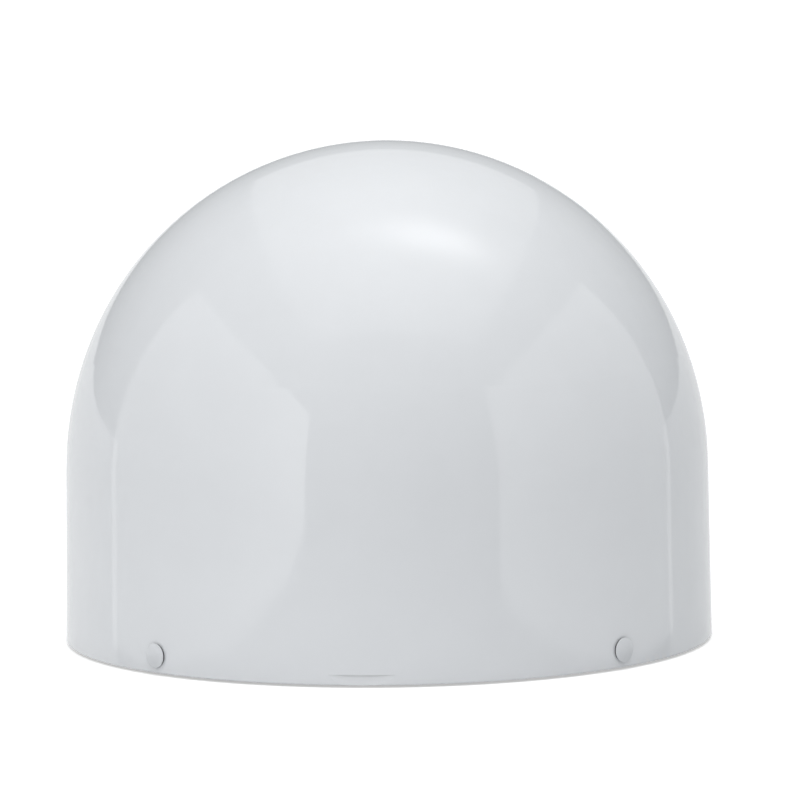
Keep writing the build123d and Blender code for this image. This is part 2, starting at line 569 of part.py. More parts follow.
def parabola(start, end, drop):
    """The same paraboloid as an exact quadratic curve, moved back along the beam by drop."""
    slope = start / (2 * DISH_FOCUS)
    middle = (start + end) / 2
    return Bezier(
        (start, bowl(start) - drop), (middle, bowl(start) - drop + slope * (end - start) / 2),
        (end, bowl(end) - drop),
    )


def ear(side):
    """Side plate between the hub and the axle, drawn out behind to carry a balance weight."""
    outline = Polygon(
        (HUB_BACK, -30), (HUB_BACK, 30), (0, 15.5), (-50, 9), (-50, -9), (0, -15.5), align=None
    )
    outline += Circle(15.5)
    plate = extrude(across_beam(0) * outline, EAR_OUTSIDE - EAR_INSIDE)
    plate = Pos(-EAR_INSIDE if side < 0 else EAR_OUTSIDE, 0, 0) * plate
    flange = block(EAR_OUTSIDE - 16, EAR_OUTSIDE, -30, 30, HUB_BACK - 3, HUB_BACK)
    plate += flange if side > 0 else mirror(flange, Plane.YZ)
    plate -= Rot(0, 90, 0) * Cylinder(AXLE_RADIUS, 300)
    plate -= [Pos(side * 40, y, 0) * Cylinder(2.0, 100) for y in (-22, 22)]
    return plate


def make_dish():
    front = parabola(14.0, DISH_RADIUS, 0)
    back = parabola(14.0, DISH_RADIUS, DISH_SHEET)
    ends = Line(front @ 0, back @ 0), Line(front @ 1, back @ 1)
    reflector = revolve(Plane.XZ * make_face([front, back, *ends]), Axis.Z)
    rim = Pos(DISH_RADIUS + 0.8, bowl(DISH_RADIUS) - 1.2) * Circle(2.6)
    reflector += revolve(Plane.XZ * rim, Axis.Z)
    reflector -= [place * Cylinder(2.0, 100) for place in REFLECTOR_SCREWS]
    save("reflector", dish_frame * reflector)

    filled = revolve(Plane.XZ * make_face([
        parabola(FEED_BUSH, HUB_RADIUS, DISH_SHEET),
        Polyline(
            (FEED_BUSH, bowl(FEED_BUSH) - DISH_SHEET), (FEED_BUSH, HUB_BACK), (HUB_RADIUS, HUB_BACK),
            (HUB_RADIUS, bowl(HUB_RADIUS) - DISH_SHEET),
        ),
    ]), Axis.Z)
    hub = filled - tube(47, 23, HUB_FRONT, 60)
    hub += filled & [Rot(0, 0, a) * block(20, 50, -2, 2, HUB_BACK, 60) for a in range(30, 390, 60)]
    hub -= [place * rod(2.0, HUB_BACK + 2, 60) for place in REFLECTOR_SCREWS]
    hub -= [Pos(x, y, 0) * Cylinder(2.0, 100) for x in (-40, 40) for y in (-22, 22)]
    hub -= [Pos(x, SKEW_CENTRES, 0) * Cylinder(1.0, 100) for x in (-8, 8)]
    save("reflector_hub", dish_frame * hub)

    screw = cap_screw(2.0, 9.5, head_height=2.4)
    screws = [place * Pos(0, 0, bowl(53)) * screw - reflector for place in REFLECTOR_SCREWS]
    ear_screw = Rot(180, 0, 0) * cap_screw(2.0, 6.5)
    screws += [Pos(x, y, HUB_BACK - 3) * ear_screw for x in (-40, 40) for y in (-22, 22)]
    save("dish_screws", *[dish_frame * s for s in screws])
    save("dish_ears", dish_frame * ear(-1), dish_frame * ear(1))
    axles, weights, clips, spacers = [], [], [], []
    for side in (-1, 1):
        axle = Cylinder(13, 3, align=DOWN) + Cylinder(AXLE_RADIUS, 72 - EAR_INSIDE, align=UP)
        axle = axle - Cylinder(3, 100) - tube(AXLE_RADIUS + 1, AXLE_RADIUS - 0.8, 24.0, 25.2)
        axles.append(along_x(axle, side * EAR_INSIDE, sign=side))
        clip = tube(AXLE_RADIUS + 2.6, AXLE_RADIUS - 0.8, 24.05, 25.15) - block(0, 20, -2.5, 2.5, 20, 30)
        clips.append(along_x(clip, side * EAR_INSIDE, sign=side))
        spacer_from = EAR_OUTSIDE + (6.0 if side < 0 else 0.0)
        spacer = tube(8.5, AXLE_RADIUS, 0, BOSS_INSIDE + 0.2 - spacer_from)
        spacers.append(along_x(spacer, side * spacer_from, sign=side))
        weight = fillet(Box(9, 18, 26).edges().filter_by(Axis.X), 3)
        weights.append(Pos(side * (EAR_INSIDE - 4.5), 0, -37) * weight)
    save("elevation_axles", *[dish_frame * a for a in axles + spacers])
    save("axle_circlips", *[dish_frame * c for c in clips])
    save("balance_weights", *[dish_frame * w for w in weights])


def make_sector():
    """Toothed quadrant: the pinion stays under the axis while the dish swings from 10 to 80 degrees."""
    meshing = -90 - REST_ELEVATION
    wheel = gear_face(DRIVE_MODULE, SECTOR_TEETH, meshing)
    middle = -90 - 45
    reach = 60
    spread = 47
    corners = [radians(middle + a) for a in (-spread, 0, spread)]
    wedge = Polygon((0, 0), *[(reach * cos(a), reach * sin(a)) for a in corners], align=None)
    window = Circle(38) - Circle(20)
    window &= Polygon(
        (0, 0),
        *[(reach * cos(radians(middle + a)), reach * sin(radians(middle + a))) for a in (-36, 0, 36)],
        align=None,
    )
    sector = (wheel & wedge) + Circle(15) - window - Circle(AXLE_RADIUS)
    save("elevation_sector", dish_frame * extrude(across_beam(-EAR_OUTSIDE) * sector, 6.0))


def make_feed_optics():
    bush = tube(FEED_BUSH, FEED_TUBE + 0.05, -2, bowl(FEED_BUSH) - DISH_SHEET - 0.2)
    bush += tube(20, FEED_TUBE + 0.05, HUB_BACK - 3, HUB_BACK)
    save("feed_bush", dish_frame * bush)

    sag = 5.0
    curve = ThreePointArc(
        (0, SUB_VERTEX), (SUB_RADIUS / 2, SUB_VERTEX + sag / 4), (SUB_RADIUS, SUB_VERTEX + sag)
    )
    edge = Polyline(
        (SUB_RADIUS, SUB_VERTEX + sag), (SUB_RADIUS, SUB_VERTEX + 8), (0, SUB_VERTEX + 8), (0, SUB_VERTEX)
    )
    sub = revolve(Plane.XZ * make_face([curve, edge]), Axis.Z)
    sub += Pos(0, 0, SUB_VERTEX + 8) * Cylinder(12, 2.5, align=UP)
    save("subreflector", dish_frame * sub)

    bowl_solid = revolve(Plane.XZ * make_face([
        parabola(0, DISH_RADIUS, 0),
        Polyline((0, DISH_VERTEX), (0, -20), (DISH_RADIUS, -20), (DISH_RADIUS, bowl(DISH_RADIUS))),
    ]), Axis.Z)
    struts = []
    for angle in (90, 210, 330):
        foot = Vector(STRUT_FOOT + 1, 0, bowl(STRUT_FOOT) - 1)
        head = Vector(SUB_RADIUS - 3, 0, SUB_VERTEX + 10)
        along = head - foot
        strut = extrude(Plane(origin=foot, z_dir=along) * Circle(2.4), along.length)
        strut += Pos(STRUT_FOOT, 0, bowl(STRUT_FOOT) - 3) * Cylinder(7, 5, align=UP)
        strut += block(8, SUB_RADIUS, -4, 4, SUB_VERTEX + 8, SUB_VERTEX + 10.5)
        strut = strut - bowl_solid - sub
        struts.append(Rot(0, 0, angle) * strut)
    save("subreflector_struts", *[dish_frame * s for s in struts])


def make_dish_electronics():
    body = rod(10, -2, HUB_BACK) + rod(3.5, -4, -2)
    body += block(-10, 10, -4, 4, HUB_BACK - 2, HUB_BACK) - rod(1.2, -10, 14)
    body -= rod(1.56, -10, 14)
    save("skew_motor", dish_frame * Pos(0, SKEW_CENTRES, 0) * body)
    shaft_place = dish_frame * Pos(0, SKEW_CENTRES, 0)
    teeth = gear_face(SKEW_MODULE, SKEW_PINION_TEETH, -90 + 180 / SKEW_PINION_TEETH)
    pinion = Pos(0, 0, -11.7) * extrude(teeth, 5.4) - Cylinder(1.5, 60)
    save("skew_pinion", shaft_place * pinion, shaft_place * rod(1.5, -12.5, 10))

    sensor = block(-16, 16, -55, -27, 4, HUB_BACK)
    sensor = fillet(sensor.edges().filter_by(Axis.Z), 3)
    sensor -= [Pos(0, 0, 0) * Cylinder(20.2, 100)]
    save("tilt_sensor", dish_frame * sensor)
    save("sensor_lead", dish_frame * lead(
        1.6, (44, 0, 0), (36, 0, 0), (32, -9, 3), (31, -22, 7), (30, -34, 10), (26, -40, 11), (16, -40, 11),
    ))


# ---- receiver and feed horn, turned about the beam to match polarisation ----
def make_receiver():
    horn = turned([
        (9, -12), (FEED_TUBE, -12), (FEED_TUBE, 30), (22, 62), (24, 62), (24, 65), (20.5, 65), (9, 31),
    ])
    save("feed_horn", dish_frame * horn)
    window = Cylinder(23.8, 1.2, align=UP)
    save("horn_window", dish_frame * Pos(0, 0, 65) * window)
    gear = Pos(0, 0, -12) * extrude(gear_face(SKEW_MODULE, SKEW_TEETH, 90), 6) - Cylinder(FEED_TUBE, 100)
    gear -= [place * Cylinder(3.5, 100) for place in around(18.5, range(0, 360, 60))]
    save("skew_gear", dish_frame * gear)

    body = rod(23, -60, -12)
    body = fillet(body.edges().filter_by(GeomType.CIRCLE).sort_by(Axis.Z)[:1], 2)
    body += [tube(26, 22, z, z + 2.4) for z in range(-52, -16, 6)]
    body += block(-11, 11, -27.5, -20, -52, -20)
    body -= Pos(0, 0, -14) * Cylinder(3, 20)
    save("receiver", dish_frame * body)
    stub = rod(4.75, -70, -60) + Pos(0, 0, -63) * extrude(RegularPolygon(6.4, 6), 3) - rod(3.2, -71, -64)
    save("receiver_jacks", *[dish_frame * Pos(x, 0, 0) * stub for x in (-9, 9)])


def main():
    os.makedirs("parts", exist_ok=True)
    make_base()
    make_cover()
    make_cable_entry()
    make_post()
    make_turntable()
    make_uprights()
    make_motors()
    make_control_box()
    make_dish()
    make_sector()
    make_feed_optics()
    make_dish_electronics()
    make_receiver()


main()
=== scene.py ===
import json
from math import cos, pi, radians, sin

import bmesh
import bpy
from mathutils import Matrix, Vector

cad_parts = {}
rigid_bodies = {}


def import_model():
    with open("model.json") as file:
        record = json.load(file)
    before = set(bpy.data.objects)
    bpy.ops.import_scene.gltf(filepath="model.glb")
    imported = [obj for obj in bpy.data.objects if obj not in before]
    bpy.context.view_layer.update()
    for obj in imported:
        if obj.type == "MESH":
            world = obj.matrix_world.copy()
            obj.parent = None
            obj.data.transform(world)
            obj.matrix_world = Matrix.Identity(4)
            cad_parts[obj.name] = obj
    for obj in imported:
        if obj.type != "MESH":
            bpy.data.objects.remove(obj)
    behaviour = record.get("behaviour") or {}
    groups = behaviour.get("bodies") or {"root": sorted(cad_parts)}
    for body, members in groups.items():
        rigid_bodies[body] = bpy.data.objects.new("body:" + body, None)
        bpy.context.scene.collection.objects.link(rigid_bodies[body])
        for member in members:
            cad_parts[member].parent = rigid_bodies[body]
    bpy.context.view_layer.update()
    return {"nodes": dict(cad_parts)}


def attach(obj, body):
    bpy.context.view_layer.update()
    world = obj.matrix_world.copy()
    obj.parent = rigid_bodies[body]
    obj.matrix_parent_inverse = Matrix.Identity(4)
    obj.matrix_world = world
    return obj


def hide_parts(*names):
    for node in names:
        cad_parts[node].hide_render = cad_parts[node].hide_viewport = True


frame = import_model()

scene = bpy.context.scene
nodes = frame["nodes"]

# ---- Camera ----
# A long lens a good way off, above the rim and turned a little down to it, as for a catalogue. It leans
# by less than a degree, as on a tripod that stands almost level.
stand_off, eye_height = 7.4825, 1.1573
aside, look_down, lean = -0.0014, 0.1292, -0.0122
camera_data = bpy.data.cameras.new("camera")
camera_data.lens = 439.5
camera_data.sensor_width = 36.0
camera_data.clip_end = 100.0
camera = bpy.data.objects.new("camera", camera_data)
scene.collection.objects.link(camera)
camera.matrix_world = (
    Matrix.Translation((0.0, -stand_off, eye_height))
    @ Matrix.Rotation(aside, 4, "Z")
    @ Matrix.Rotation(radians(90) - look_down, 4, "X")
    @ Matrix.Rotation(lean, 4, "Z")
)
scene.camera = camera

# ---- Studio ----
# A plain pale floor that runs well past the view, a pale room, and cloth softboxes: one at each side of
# the dome, a long one overhead, brightest above it, and a low wide cloth behind. They show in the gloss
# only, which leaves the floor out, and spills and fills give the soft shading.
floor_reach, floor_glow = 30, 0.45


def shader_of(name, shine=0.5):
    """A new material, its node tree and its shader, with the roughness that nothing else drives."""
    material = bpy.data.materials.new(name)
    material.use_nodes = True
    shader = material.node_tree.nodes["Principled BSDF"]
    shader.inputs["Roughness"].default_value = shine
    return material, material.node_tree, shader


def add(tree, kind, **settings):
    """A shader node. Settings named as its inputs are set or linked, the others are its options."""
    node = tree.nodes.new("ShaderNode" + kind)
    for name, value in settings.items():
        if name.islower():
            setattr(node, name, value)
    for name, value in settings.items():
        if name.islower():
            continue
        socket = node.inputs[name.replace("_", " ")]
        if isinstance(value, bpy.types.NodeSocket):
            tree.links.new(value, socket)
        else:
            socket.default_value = value
    return node


def calc(tree, operation, *values):
    """One step of arithmetic on numbers or sockets."""
    node = tree.nodes.new("ShaderNodeMath")
    node.operation = operation
    for socket, value in zip(node.inputs, values):
        if isinstance(value, bpy.types.NodeSocket):
            tree.links.new(value, socket)
        else:
            socket.default_value = value
    return node.outputs[0]


def between(tree, factor, first, second):
    """A colour part of the way from the first to the second."""
    node = tree.nodes.new("ShaderNodeMix")
    node.data_type = "RGBA"
    for index, value in ((0, factor), (6, first), (7, second)):
        if isinstance(value, bpy.types.NodeSocket):
            tree.links.new(value, node.inputs[index])
        else:
            node.inputs[index].default_value = value if index == 0 else (*value, 1)
    return node.outputs[2]


floor_mesh = bpy.data.meshes.new("floor")
corners = [(x * floor_reach, y * floor_reach, 0) for x, y in ((-1, -1), (1, -1), (1, 1), (-1, 1))]
floor_mesh.from_pydata(corners, [], [(0, 1, 2, 3)])
floor = bpy.data.objects.new("floor", floor_mesh)
scene.collection.objects.link(floor)
floor_paper, tree, shader = shader_of("floor_paper", 0.7)
paper = add(tree, "TexNoise", Vector=add(tree, "TexCoord").outputs["Object"], Scale=3.0, Detail=3.0)
paper_white = between(tree, paper.outputs["Fac"], (0.80, 0.802, 0.805), (0.83, 0.832, 0.835))
tree.links.new(paper_white, shader.inputs["Base Color"])
shader.inputs["Emission Color"].default_value = (1, 1, 1, 1)
seen = add(tree, "LightPath").outputs["Is Camera Ray"]
tree.links.new(calc(tree, "MULTIPLY", seen, floor_glow), shader.inputs["Emission Strength"])
floor_mesh.materials.append(floor_paper)
floor.visible_glossy = False

scene.view_settings.view_transform = "Standard"
room = bpy.data.worlds.new("room")
scene.world = room
room.use_nodes = True
room.node_tree.nodes["Background"].inputs["Color"].default_value = (0.95, 0.98, 1.0, 1)
room.node_tree.nodes["Background"].inputs["Strength"].default_value = 0.40


def softbox(name, centre, facing, width, height, radiance, in_gloss=True, in_diffuse=True, glows=()):
    """A rectangular light facing a point. A glow (middle, spread, extra) brightens a place on its cloth."""
    data = bpy.data.lights.new(name, "AREA")
    data.shape = "RECTANGLE"
    data.size = width
    data.size_y = height
    data.energy = radiance * pi * width * height
    if glows:
        data.use_nodes = True
        cloth = data.node_tree
        place = add(cloth, "NewGeometry").outputs["Position"]
        strength = 1.0
        for middle, spread, extra in glows:
            offset = add(cloth, "VectorMath", operation="SUBTRACT")
            cloth.links.new(place, offset.inputs[0])
            offset.inputs[1].default_value = middle
            scaled = add(cloth, "VectorMath", operation="DIVIDE")
            cloth.links.new(offset.outputs[0], scaled.inputs[0])
            scaled.inputs[1].default_value = spread
            square = add(cloth, "VectorMath", operation="DOT_PRODUCT")
            cloth.links.new(scaled.outputs[0], square.inputs[0])
            cloth.links.new(scaled.outputs[0], square.inputs[1])
            fall = calc(cloth, "EXPONENT", calc(cloth, "MULTIPLY", square.outputs["Value"], -1.0))
            strength = calc(cloth, "MULTIPLY_ADD", fall, extra / radiance, strength)
        cloth.links.new(strength, cloth.nodes["Emission"].inputs["Strength"])
    lamp = bpy.data.objects.new(name, data)
    lamp.location = centre
    lamp.rotation_euler = (Vector(centre) - Vector(facing)).to_track_quat("Z", "Y").to_euler()
    lamp.visible_glossy = in_gloss
    lamp.visible_diffuse = in_diffuse
    scene.collection.objects.link(lamp)


def fill(name, direction, strength):
    """Wide, even light from one side that leaves no reflection of its own."""
    data = bpy.data.lights.new(name, "SUN")
    data.energy = strength
    data.angle = 1.2
    lamp = bpy.data.objects.new(name, data)
    lamp.rotation_euler = Vector(direction).to_track_quat("Z", "Y").to_euler()
    lamp.visible_glossy = False
    scene.collection.objects.link(lamp)


softbox("left_softbox", (-0.9, -0.76, 0.43), facing=(0, -0.76, 0.43), width=1.94, height=1.04, radiance=0.60,
        in_diffuse=False, glows=[((-0.9, -1.7, 0.4), (1.0, 0.8, 0.9), 1.1)])
softbox("right_softbox", (0.9, -0.45, 0.41), facing=(0, -0.45, 0.41), width=1.5, height=1.0, radiance=0.62,
        in_diffuse=False, glows=[((0.9, -1.2, 0.4), (1.0, 0.6, 0.9), 0.35)])
softbox("top_softbox", (0.07, 0.55, 1.2), facing=(0.07, 0.55, 0), width=1.35, height=2.9, radiance=0.30,
        in_diffuse=False,
        glows=[((0.25, -0.05, 1.2), (0.28, 0.14, 1.0), 2.1), ((0.1, -0.2, 1.2), (0.6, 0.6, 1.0), 0.65)])
softbox("back_cloth", (-0.7, 2.5, -0.55), facing=(-0.7, 0, -0.55), width=11.2, height=1.9, radiance=0.46,
        in_diffuse=False, glows=[((-3.0, 2.5, -0.5), (3.0, 1.0, 3.0), 0.16)])
softbox("side_spill", (-0.9, -0.76, 0.46), facing=(0, -0.76, 0.46), width=1.94, height=0.98, radiance=0.16,
        in_gloss=False)
softbox("top_spill", (0.26, -0.06, 1.19), facing=(0.26, -0.06, 0), width=0.28, height=0.2, radiance=8.2,
        in_gloss=False)
fill("fill_front", (0, -1, 0.3), 0.29)
fill("fill_left", (-0.8, -0.7, 0.3), 0.72)
fill("fill_above", (0, -0.2, 1), 1.52)

# ---- Radome ----
# The weather cover: one thin moulding in white gel coat over glass laminate, polished outside with a
# trace of orange peel, and showing its cloth inside. It is laid up in one female mould.


def group_of(name, inputs, outputs):
    """A new shader group with its named sockets: inputs as (label, type, value), outputs as (label, type)."""
    group = bpy.data.node_groups.new(name, "ShaderNodeTree")
    for label, kind, value in inputs:
        socket = group.interface.new_socket(label, in_out="INPUT", socket_type="NodeSocket" + kind)
        if value is not None:
            socket.default_value = value
    for label, kind in outputs:
        group.interface.new_socket(label, in_out="OUTPUT", socket_type="NodeSocket" + kind)
    return group, group.nodes.new("NodeGroupInput").outputs, group.nodes.new("NodeGroupOutput").inputs


def placed(tree, group, **values):
    """A shader group put into a material, with its own values."""
    node = tree.nodes.new("ShaderNodeGroup")
    node.node_tree = group
    for name, value in values.items():
        socket = node.inputs[name.replace("_", " ")]
        if isinstance(value, bpy.types.NodeSocket):
            tree.links.new(value, socket)
        elif socket.type == "RGBA":
            socket.default_value = (*value, 1)
        else:
            socket.default_value = value
    return node.outputs


# slow changes of shade and of gloss over a surface
clouding, given, result = group_of(
    "clouding",
    [("Vector", "Vector", None), ("Scale", "Float", 20.0), ("Pale", "Color", None), ("Deep", "Color", None),
     ("Smooth", "Float", 0.3), ("Rough", "Float", 0.4)],
    [("Color", "Color"), ("Roughness", "Float")],
)
broad = add(clouding, "TexNoise", Vector=given["Vector"], Scale=given["Scale"], Detail=5.0, Roughness=0.6)
fine_scale = calc(clouding, "MULTIPLY", given["Scale"], 6.0)
fine = add(clouding, "TexNoise", Vector=given["Vector"], Scale=fine_scale, Detail=3.0)
patch = add(clouding, "MapRange", Value=broad.outputs["Fac"], From_Min=0.32, From_Max=0.68).outputs["Result"]
speck = add(clouding, "MapRange", Value=fine.outputs["Fac"], From_Min=0.35, From_Max=0.65).outputs["Result"]
mixed = calc(clouding, "MULTIPLY_ADD", speck, 0.35, calc(clouding, "MULTIPLY", patch, 0.65))
clouding.links.new(between(clouding, mixed, given["Pale"], given["Deep"]), result["Color"])
sheen = add(clouding, "MapRange", Value=mixed, To_Min=given["Smooth"], To_Max=given["Rough"])
clouding.links.new(sheen.outputs["Result"], result["Roughness"])


def from_axis(tree, x, y):
    """The distance out from the third axis, of which x and y are the crosswise parts."""
    return calc(tree, "SQRT", calc(tree, "ADD", calc(tree, "MULTIPLY", x, x), calc(tree, "MULTIPLY", y, y)))


# the plain weave of glass cloth under resin, wrapped round an upright axis at about the wall's radius
wrap_radius = 0.24
glass_weave, given, result = group_of(
    "glass_weave", [("Vector", "Vector", None), ("Threads", "Float", 400.0)], [("Height", "Float")])
spot = add(glass_weave, "SeparateXYZ", Vector=given["Vector"]).outputs
around = calc(glass_weave, "MULTIPLY", calc(glass_weave, "ARCTAN2", spot["Y"], spot["X"]), wrap_radius)
climb = calc(glass_weave, "SUBTRACT", spot["Z"], from_axis(glass_weave, spot["X"], spot["Y"]))
threads = calc(glass_weave, "MULTIPLY", given["Threads"], pi)
warp = calc(glass_weave, "SINE", calc(glass_weave, "MULTIPLY", around, threads))
weft = calc(glass_weave, "SINE", calc(glass_weave, "MULTIPLY", climb, threads))
over = calc(glass_weave, "ABSOLUTE", calc(glass_weave, "MULTIPLY", warp, weft))
resin = add(glass_weave, "TexNoise", Vector=given["Vector"], Scale=60.0, Detail=4.0)
relief = calc(glass_weave, "MULTIPLY_ADD", resin.outputs["Fac"], 1.5, over)
glass_weave.links.new(relief, result["Height"])

# fine settled dust: a mask that is strongest on faces that look up
settled_dust, given, result = group_of(
    "settled_dust", [("Vector", "Vector", None), ("Normal", "Vector", None), ("Amount", "Float", 0.3)],
    [("Mask", "Float")])
level = add(settled_dust, "SeparateXYZ", Vector=given["Normal"]).outputs["Z"]
flat_up = add(settled_dust, "MapRange", Value=level, From_Min=0.2, From_Max=1.0).outputs["Result"]
lint = add(settled_dust, "TexNoise", Vector=given["Vector"], Scale=140.0, Detail=6.0, Roughness=0.7)
drift = add(settled_dust, "MapRange", Value=lint.outputs["Fac"], From_Min=0.42, From_Max=0.75)
settled = calc(settled_dust, "MULTIPLY", flat_up, drift.outputs["Result"])
lying = calc(settled_dust, "MULTIPLY", settled, given["Amount"])
settled_dust.links.new(lying, result["Mask"])

# the inner skin is told from the outer by its normals, which point in towards the middle of the rim
gel_coat, tree, shader = shader_of("gel_coat")
spot = add(tree, "TexCoord").outputs
outward = add(tree, "VectorMath", operation="DOT_PRODUCT")
tree.links.new(spot["Normal"], outward.inputs[0])
tree.links.new(spot["Object"], outward.inputs[1])
inside = calc(tree, "LESS_THAN", outward.outputs["Value"], 0.012)
polish = placed(tree, clouding, Vector=spot["Object"], Scale=5.0, Pale=(0.705, 0.717, 0.735),
                Deep=(0.685, 0.697, 0.715), Smooth=0.045, Rough=0.065)
back = placed(tree, clouding, Vector=spot["Object"], Scale=30.0, Pale=(0.62, 0.61, 0.54),
              Deep=(0.50, 0.49, 0.42), Smooth=0.38, Rough=0.55)
film = placed(tree, settled_dust, Vector=spot["Object"], Normal=spot["Normal"], Amount=0.05)["Mask"]
outer_tone = between(tree, film, polish["Color"], (0.60, 0.58, 0.53))
tree.links.new(between(tree, inside, outer_tone, back["Color"]), shader.inputs["Base Color"])
gloss = add(tree, "MapRange", Value=inside, To_Min=polish["Roughness"], To_Max=back["Roughness"])
tree.links.new(calc(tree, "MULTIPLY_ADD", film, 1.2, gloss.outputs["Result"]), shader.inputs["Roughness"])
peel = add(tree, "TexNoise", Vector=spot["Object"], Scale=28.0, Detail=2.0, Roughness=0.4)
cloth = placed(tree, glass_weave, Vector=spot["Object"], Threads=330.0)["Height"]
peel_bump = add(tree, "Bump", Strength=1.0, Distance=0.00005, Height=peel.outputs["Fac"])
cloth_bump = add(tree, "Bump", Strength=1.0, Distance=0.00022, Height=cloth)
facing = add(tree, "Mix", data_type="VECTOR")
tree.links.new(inside, facing.inputs[0])
tree.links.new(peel_bump.outputs[0], facing.inputs[4])
tree.links.new(cloth_bump.outputs[0], facing.inputs[5])
tree.links.new(facing.outputs[1], shader.inputs["Normal"])
nodes["radome"].material_slots[0].material = gel_coat

# ---- Cover fixings ----
# Four stainless screws hold the cover. Each sits in a soft cup washer and is hidden by a low domed cap
# moulded in white nylon that snaps over the cup. The washers are near-black rubber, and their black also
# paints the shade in the narrow gap under each cap's lip. Clip nuts slide over the base's wall behind them.

# the fine even texture that a spark-eroded mould leaves on plastic
moulded_grain, given, result = group_of(
    "moulded_grain", [("Vector", "Vector", None), ("Scale", "Float", 900.0)], [("Height", "Float")])
cells = add(moulded_grain, "TexVoronoi", Vector=given["Vector"], Scale=given["Scale"])
swirl = add(moulded_grain, "TexNoise", Vector=given["Vector"], Scale=given["Scale"], Detail=3.0,
            Roughness=0.7)
pebbles = calc(moulded_grain, "MULTIPLY_ADD", swirl.outputs["Fac"], 0.8, cells.outputs["Distance"])
moulded_grain.links.new(pebbles, result["Height"])

# a mask over the corners and edges that handling rubs first
edge_wear, given, result = group_of(
    "edge_wear", [("Edge", "Float", 0.5), ("Vector", "Vector", None), ("Amount", "Float", 0.5)],
    [("Mask", "Float")])
chips = add(edge_wear, "TexNoise", Vector=given["Vector"], Scale=260.0, Detail=5.0, Roughness=0.65)
sharp = add(edge_wear, "MapRange", Value=given["Edge"], From_Min=0.52, From_Max=0.60).outputs["Result"]
rubbed = calc(edge_wear, "MULTIPLY", sharp, calc(edge_wear, "MULTIPLY", chips.outputs["Fac"], 1.6))
edge_wear.links.new(calc(edge_wear, "MULTIPLY", rubbed, given["Amount"]), result["Mask"])


def rubbed_edges(tree, spot, amount):
    """The mask of a material's worn edges."""
    edge = add(tree, "NewGeometry").outputs["Pointiness"]
    return placed(tree, edge_wear, Edge=edge, Vector=spot["Object"], Amount=amount)["Mask"]


def dusted(tree, shader, spot, amount, clean, roughness, dust):
    """Dust of a colour laid over a clean colour and roughness, all linked to the shader."""
    film = placed(tree, settled_dust, Vector=spot["Object"], Normal=spot["Normal"], Amount=amount)["Mask"]
    tree.links.new(between(tree, film, clean, dust), shader.inputs["Base Color"])
    tree.links.new(calc(tree, "MULTIPLY_ADD", film, 0.3, roughness), shader.inputs["Roughness"])


def raised(tree, shader, height, depth, strength):
    """A relief of a given depth in metres, linked to the shader's normal."""
    bump = add(tree, "Bump", Strength=strength, Distance=depth, Height=height)
    tree.links.new(bump.outputs[0], shader.inputs["Normal"])


def moulding(name, pale, deep, smooth, rough, grain, depth, dust, wear=0.0):
    """A moulded plastic or rubber: cloudy shade, grain of a given fineness and depth, worn edges, dust."""
    material, tree, shader = shader_of(name)
    spot = add(tree, "TexCoord").outputs
    tone = placed(tree, clouding, Vector=spot["Object"], Scale=35.0, Pale=pale, Deep=deep,
                  Smooth=smooth, Rough=rough)
    rub = rubbed_edges(tree, spot, wear)
    rubbed_tone = between(tree, rub, tone["Color"], tuple(min(1.0, c * 1.25 + 0.03) for c in pale))
    dusted(tree, shader, spot, dust, rubbed_tone, tone["Roughness"], (0.40, 0.38, 0.34))
    texture = placed(tree, moulded_grain, Vector=spot["Object"], Scale=grain)["Height"]
    raised(tree, shader, texture, depth, 0.8)
    return material


def finish(material, *names):
    """Give a material to nodes that keep their own shape."""
    for name in names:
        nodes[name].material_slots[0].material = material


# fine lines left by rolling, drawing or brushing, along the vector's first axis
drawn_lines, given, result = group_of(
    "drawn_lines", [("Vector", "Vector", None), ("Fineness", "Float", 500.0)],
    [("Streak", "Float"), ("Height", "Float")])
stretched = add(drawn_lines, "Mapping", Vector=given["Vector"], Scale=(0.03, 1.0, 1.0))
lines = add(drawn_lines, "TexNoise", Vector=stretched.outputs["Vector"], Scale=given["Fineness"], Detail=4.0)
faint = add(drawn_lines, "MapRange", Value=lines.outputs["Fac"], From_Min=0.35, From_Max=0.65)
drawn_lines.links.new(faint.outputs["Result"], result["Streak"])
drawn_lines.links.new(lines.outputs["Fac"], result["Height"])

# the close rings that a lathe tool leaves round the vector's third axis
turned_rings, given, result = group_of(
    "turned_rings", [("Vector", "Vector", None), ("Pitch", "Float", 0.0003)],
    [("Streak", "Float"), ("Height", "Float")])
spot = add(turned_rings, "SeparateXYZ", Vector=given["Vector"]).outputs
out_and_up = calc(turned_rings, "ADD", from_axis(turned_rings, spot["X"], spot["Y"]), spot["Z"])
feed = calc(turned_rings, "DIVIDE", calc(turned_rings, "MULTIPLY", out_and_up, 2 * pi), given["Pitch"])
chatter = add(turned_rings, "TexNoise", Vector=given["Vector"], Scale=90.0, Detail=2.0)
ring = calc(turned_rings, "SINE", calc(turned_rings, "MULTIPLY_ADD", chatter.outputs["Fac"], 2.0, feed))
turned_rings.links.new(calc(turned_rings, "MULTIPLY_ADD", ring, 0.25, 0.5), result["Streak"])
turned_rings.links.new(ring, result["Height"])


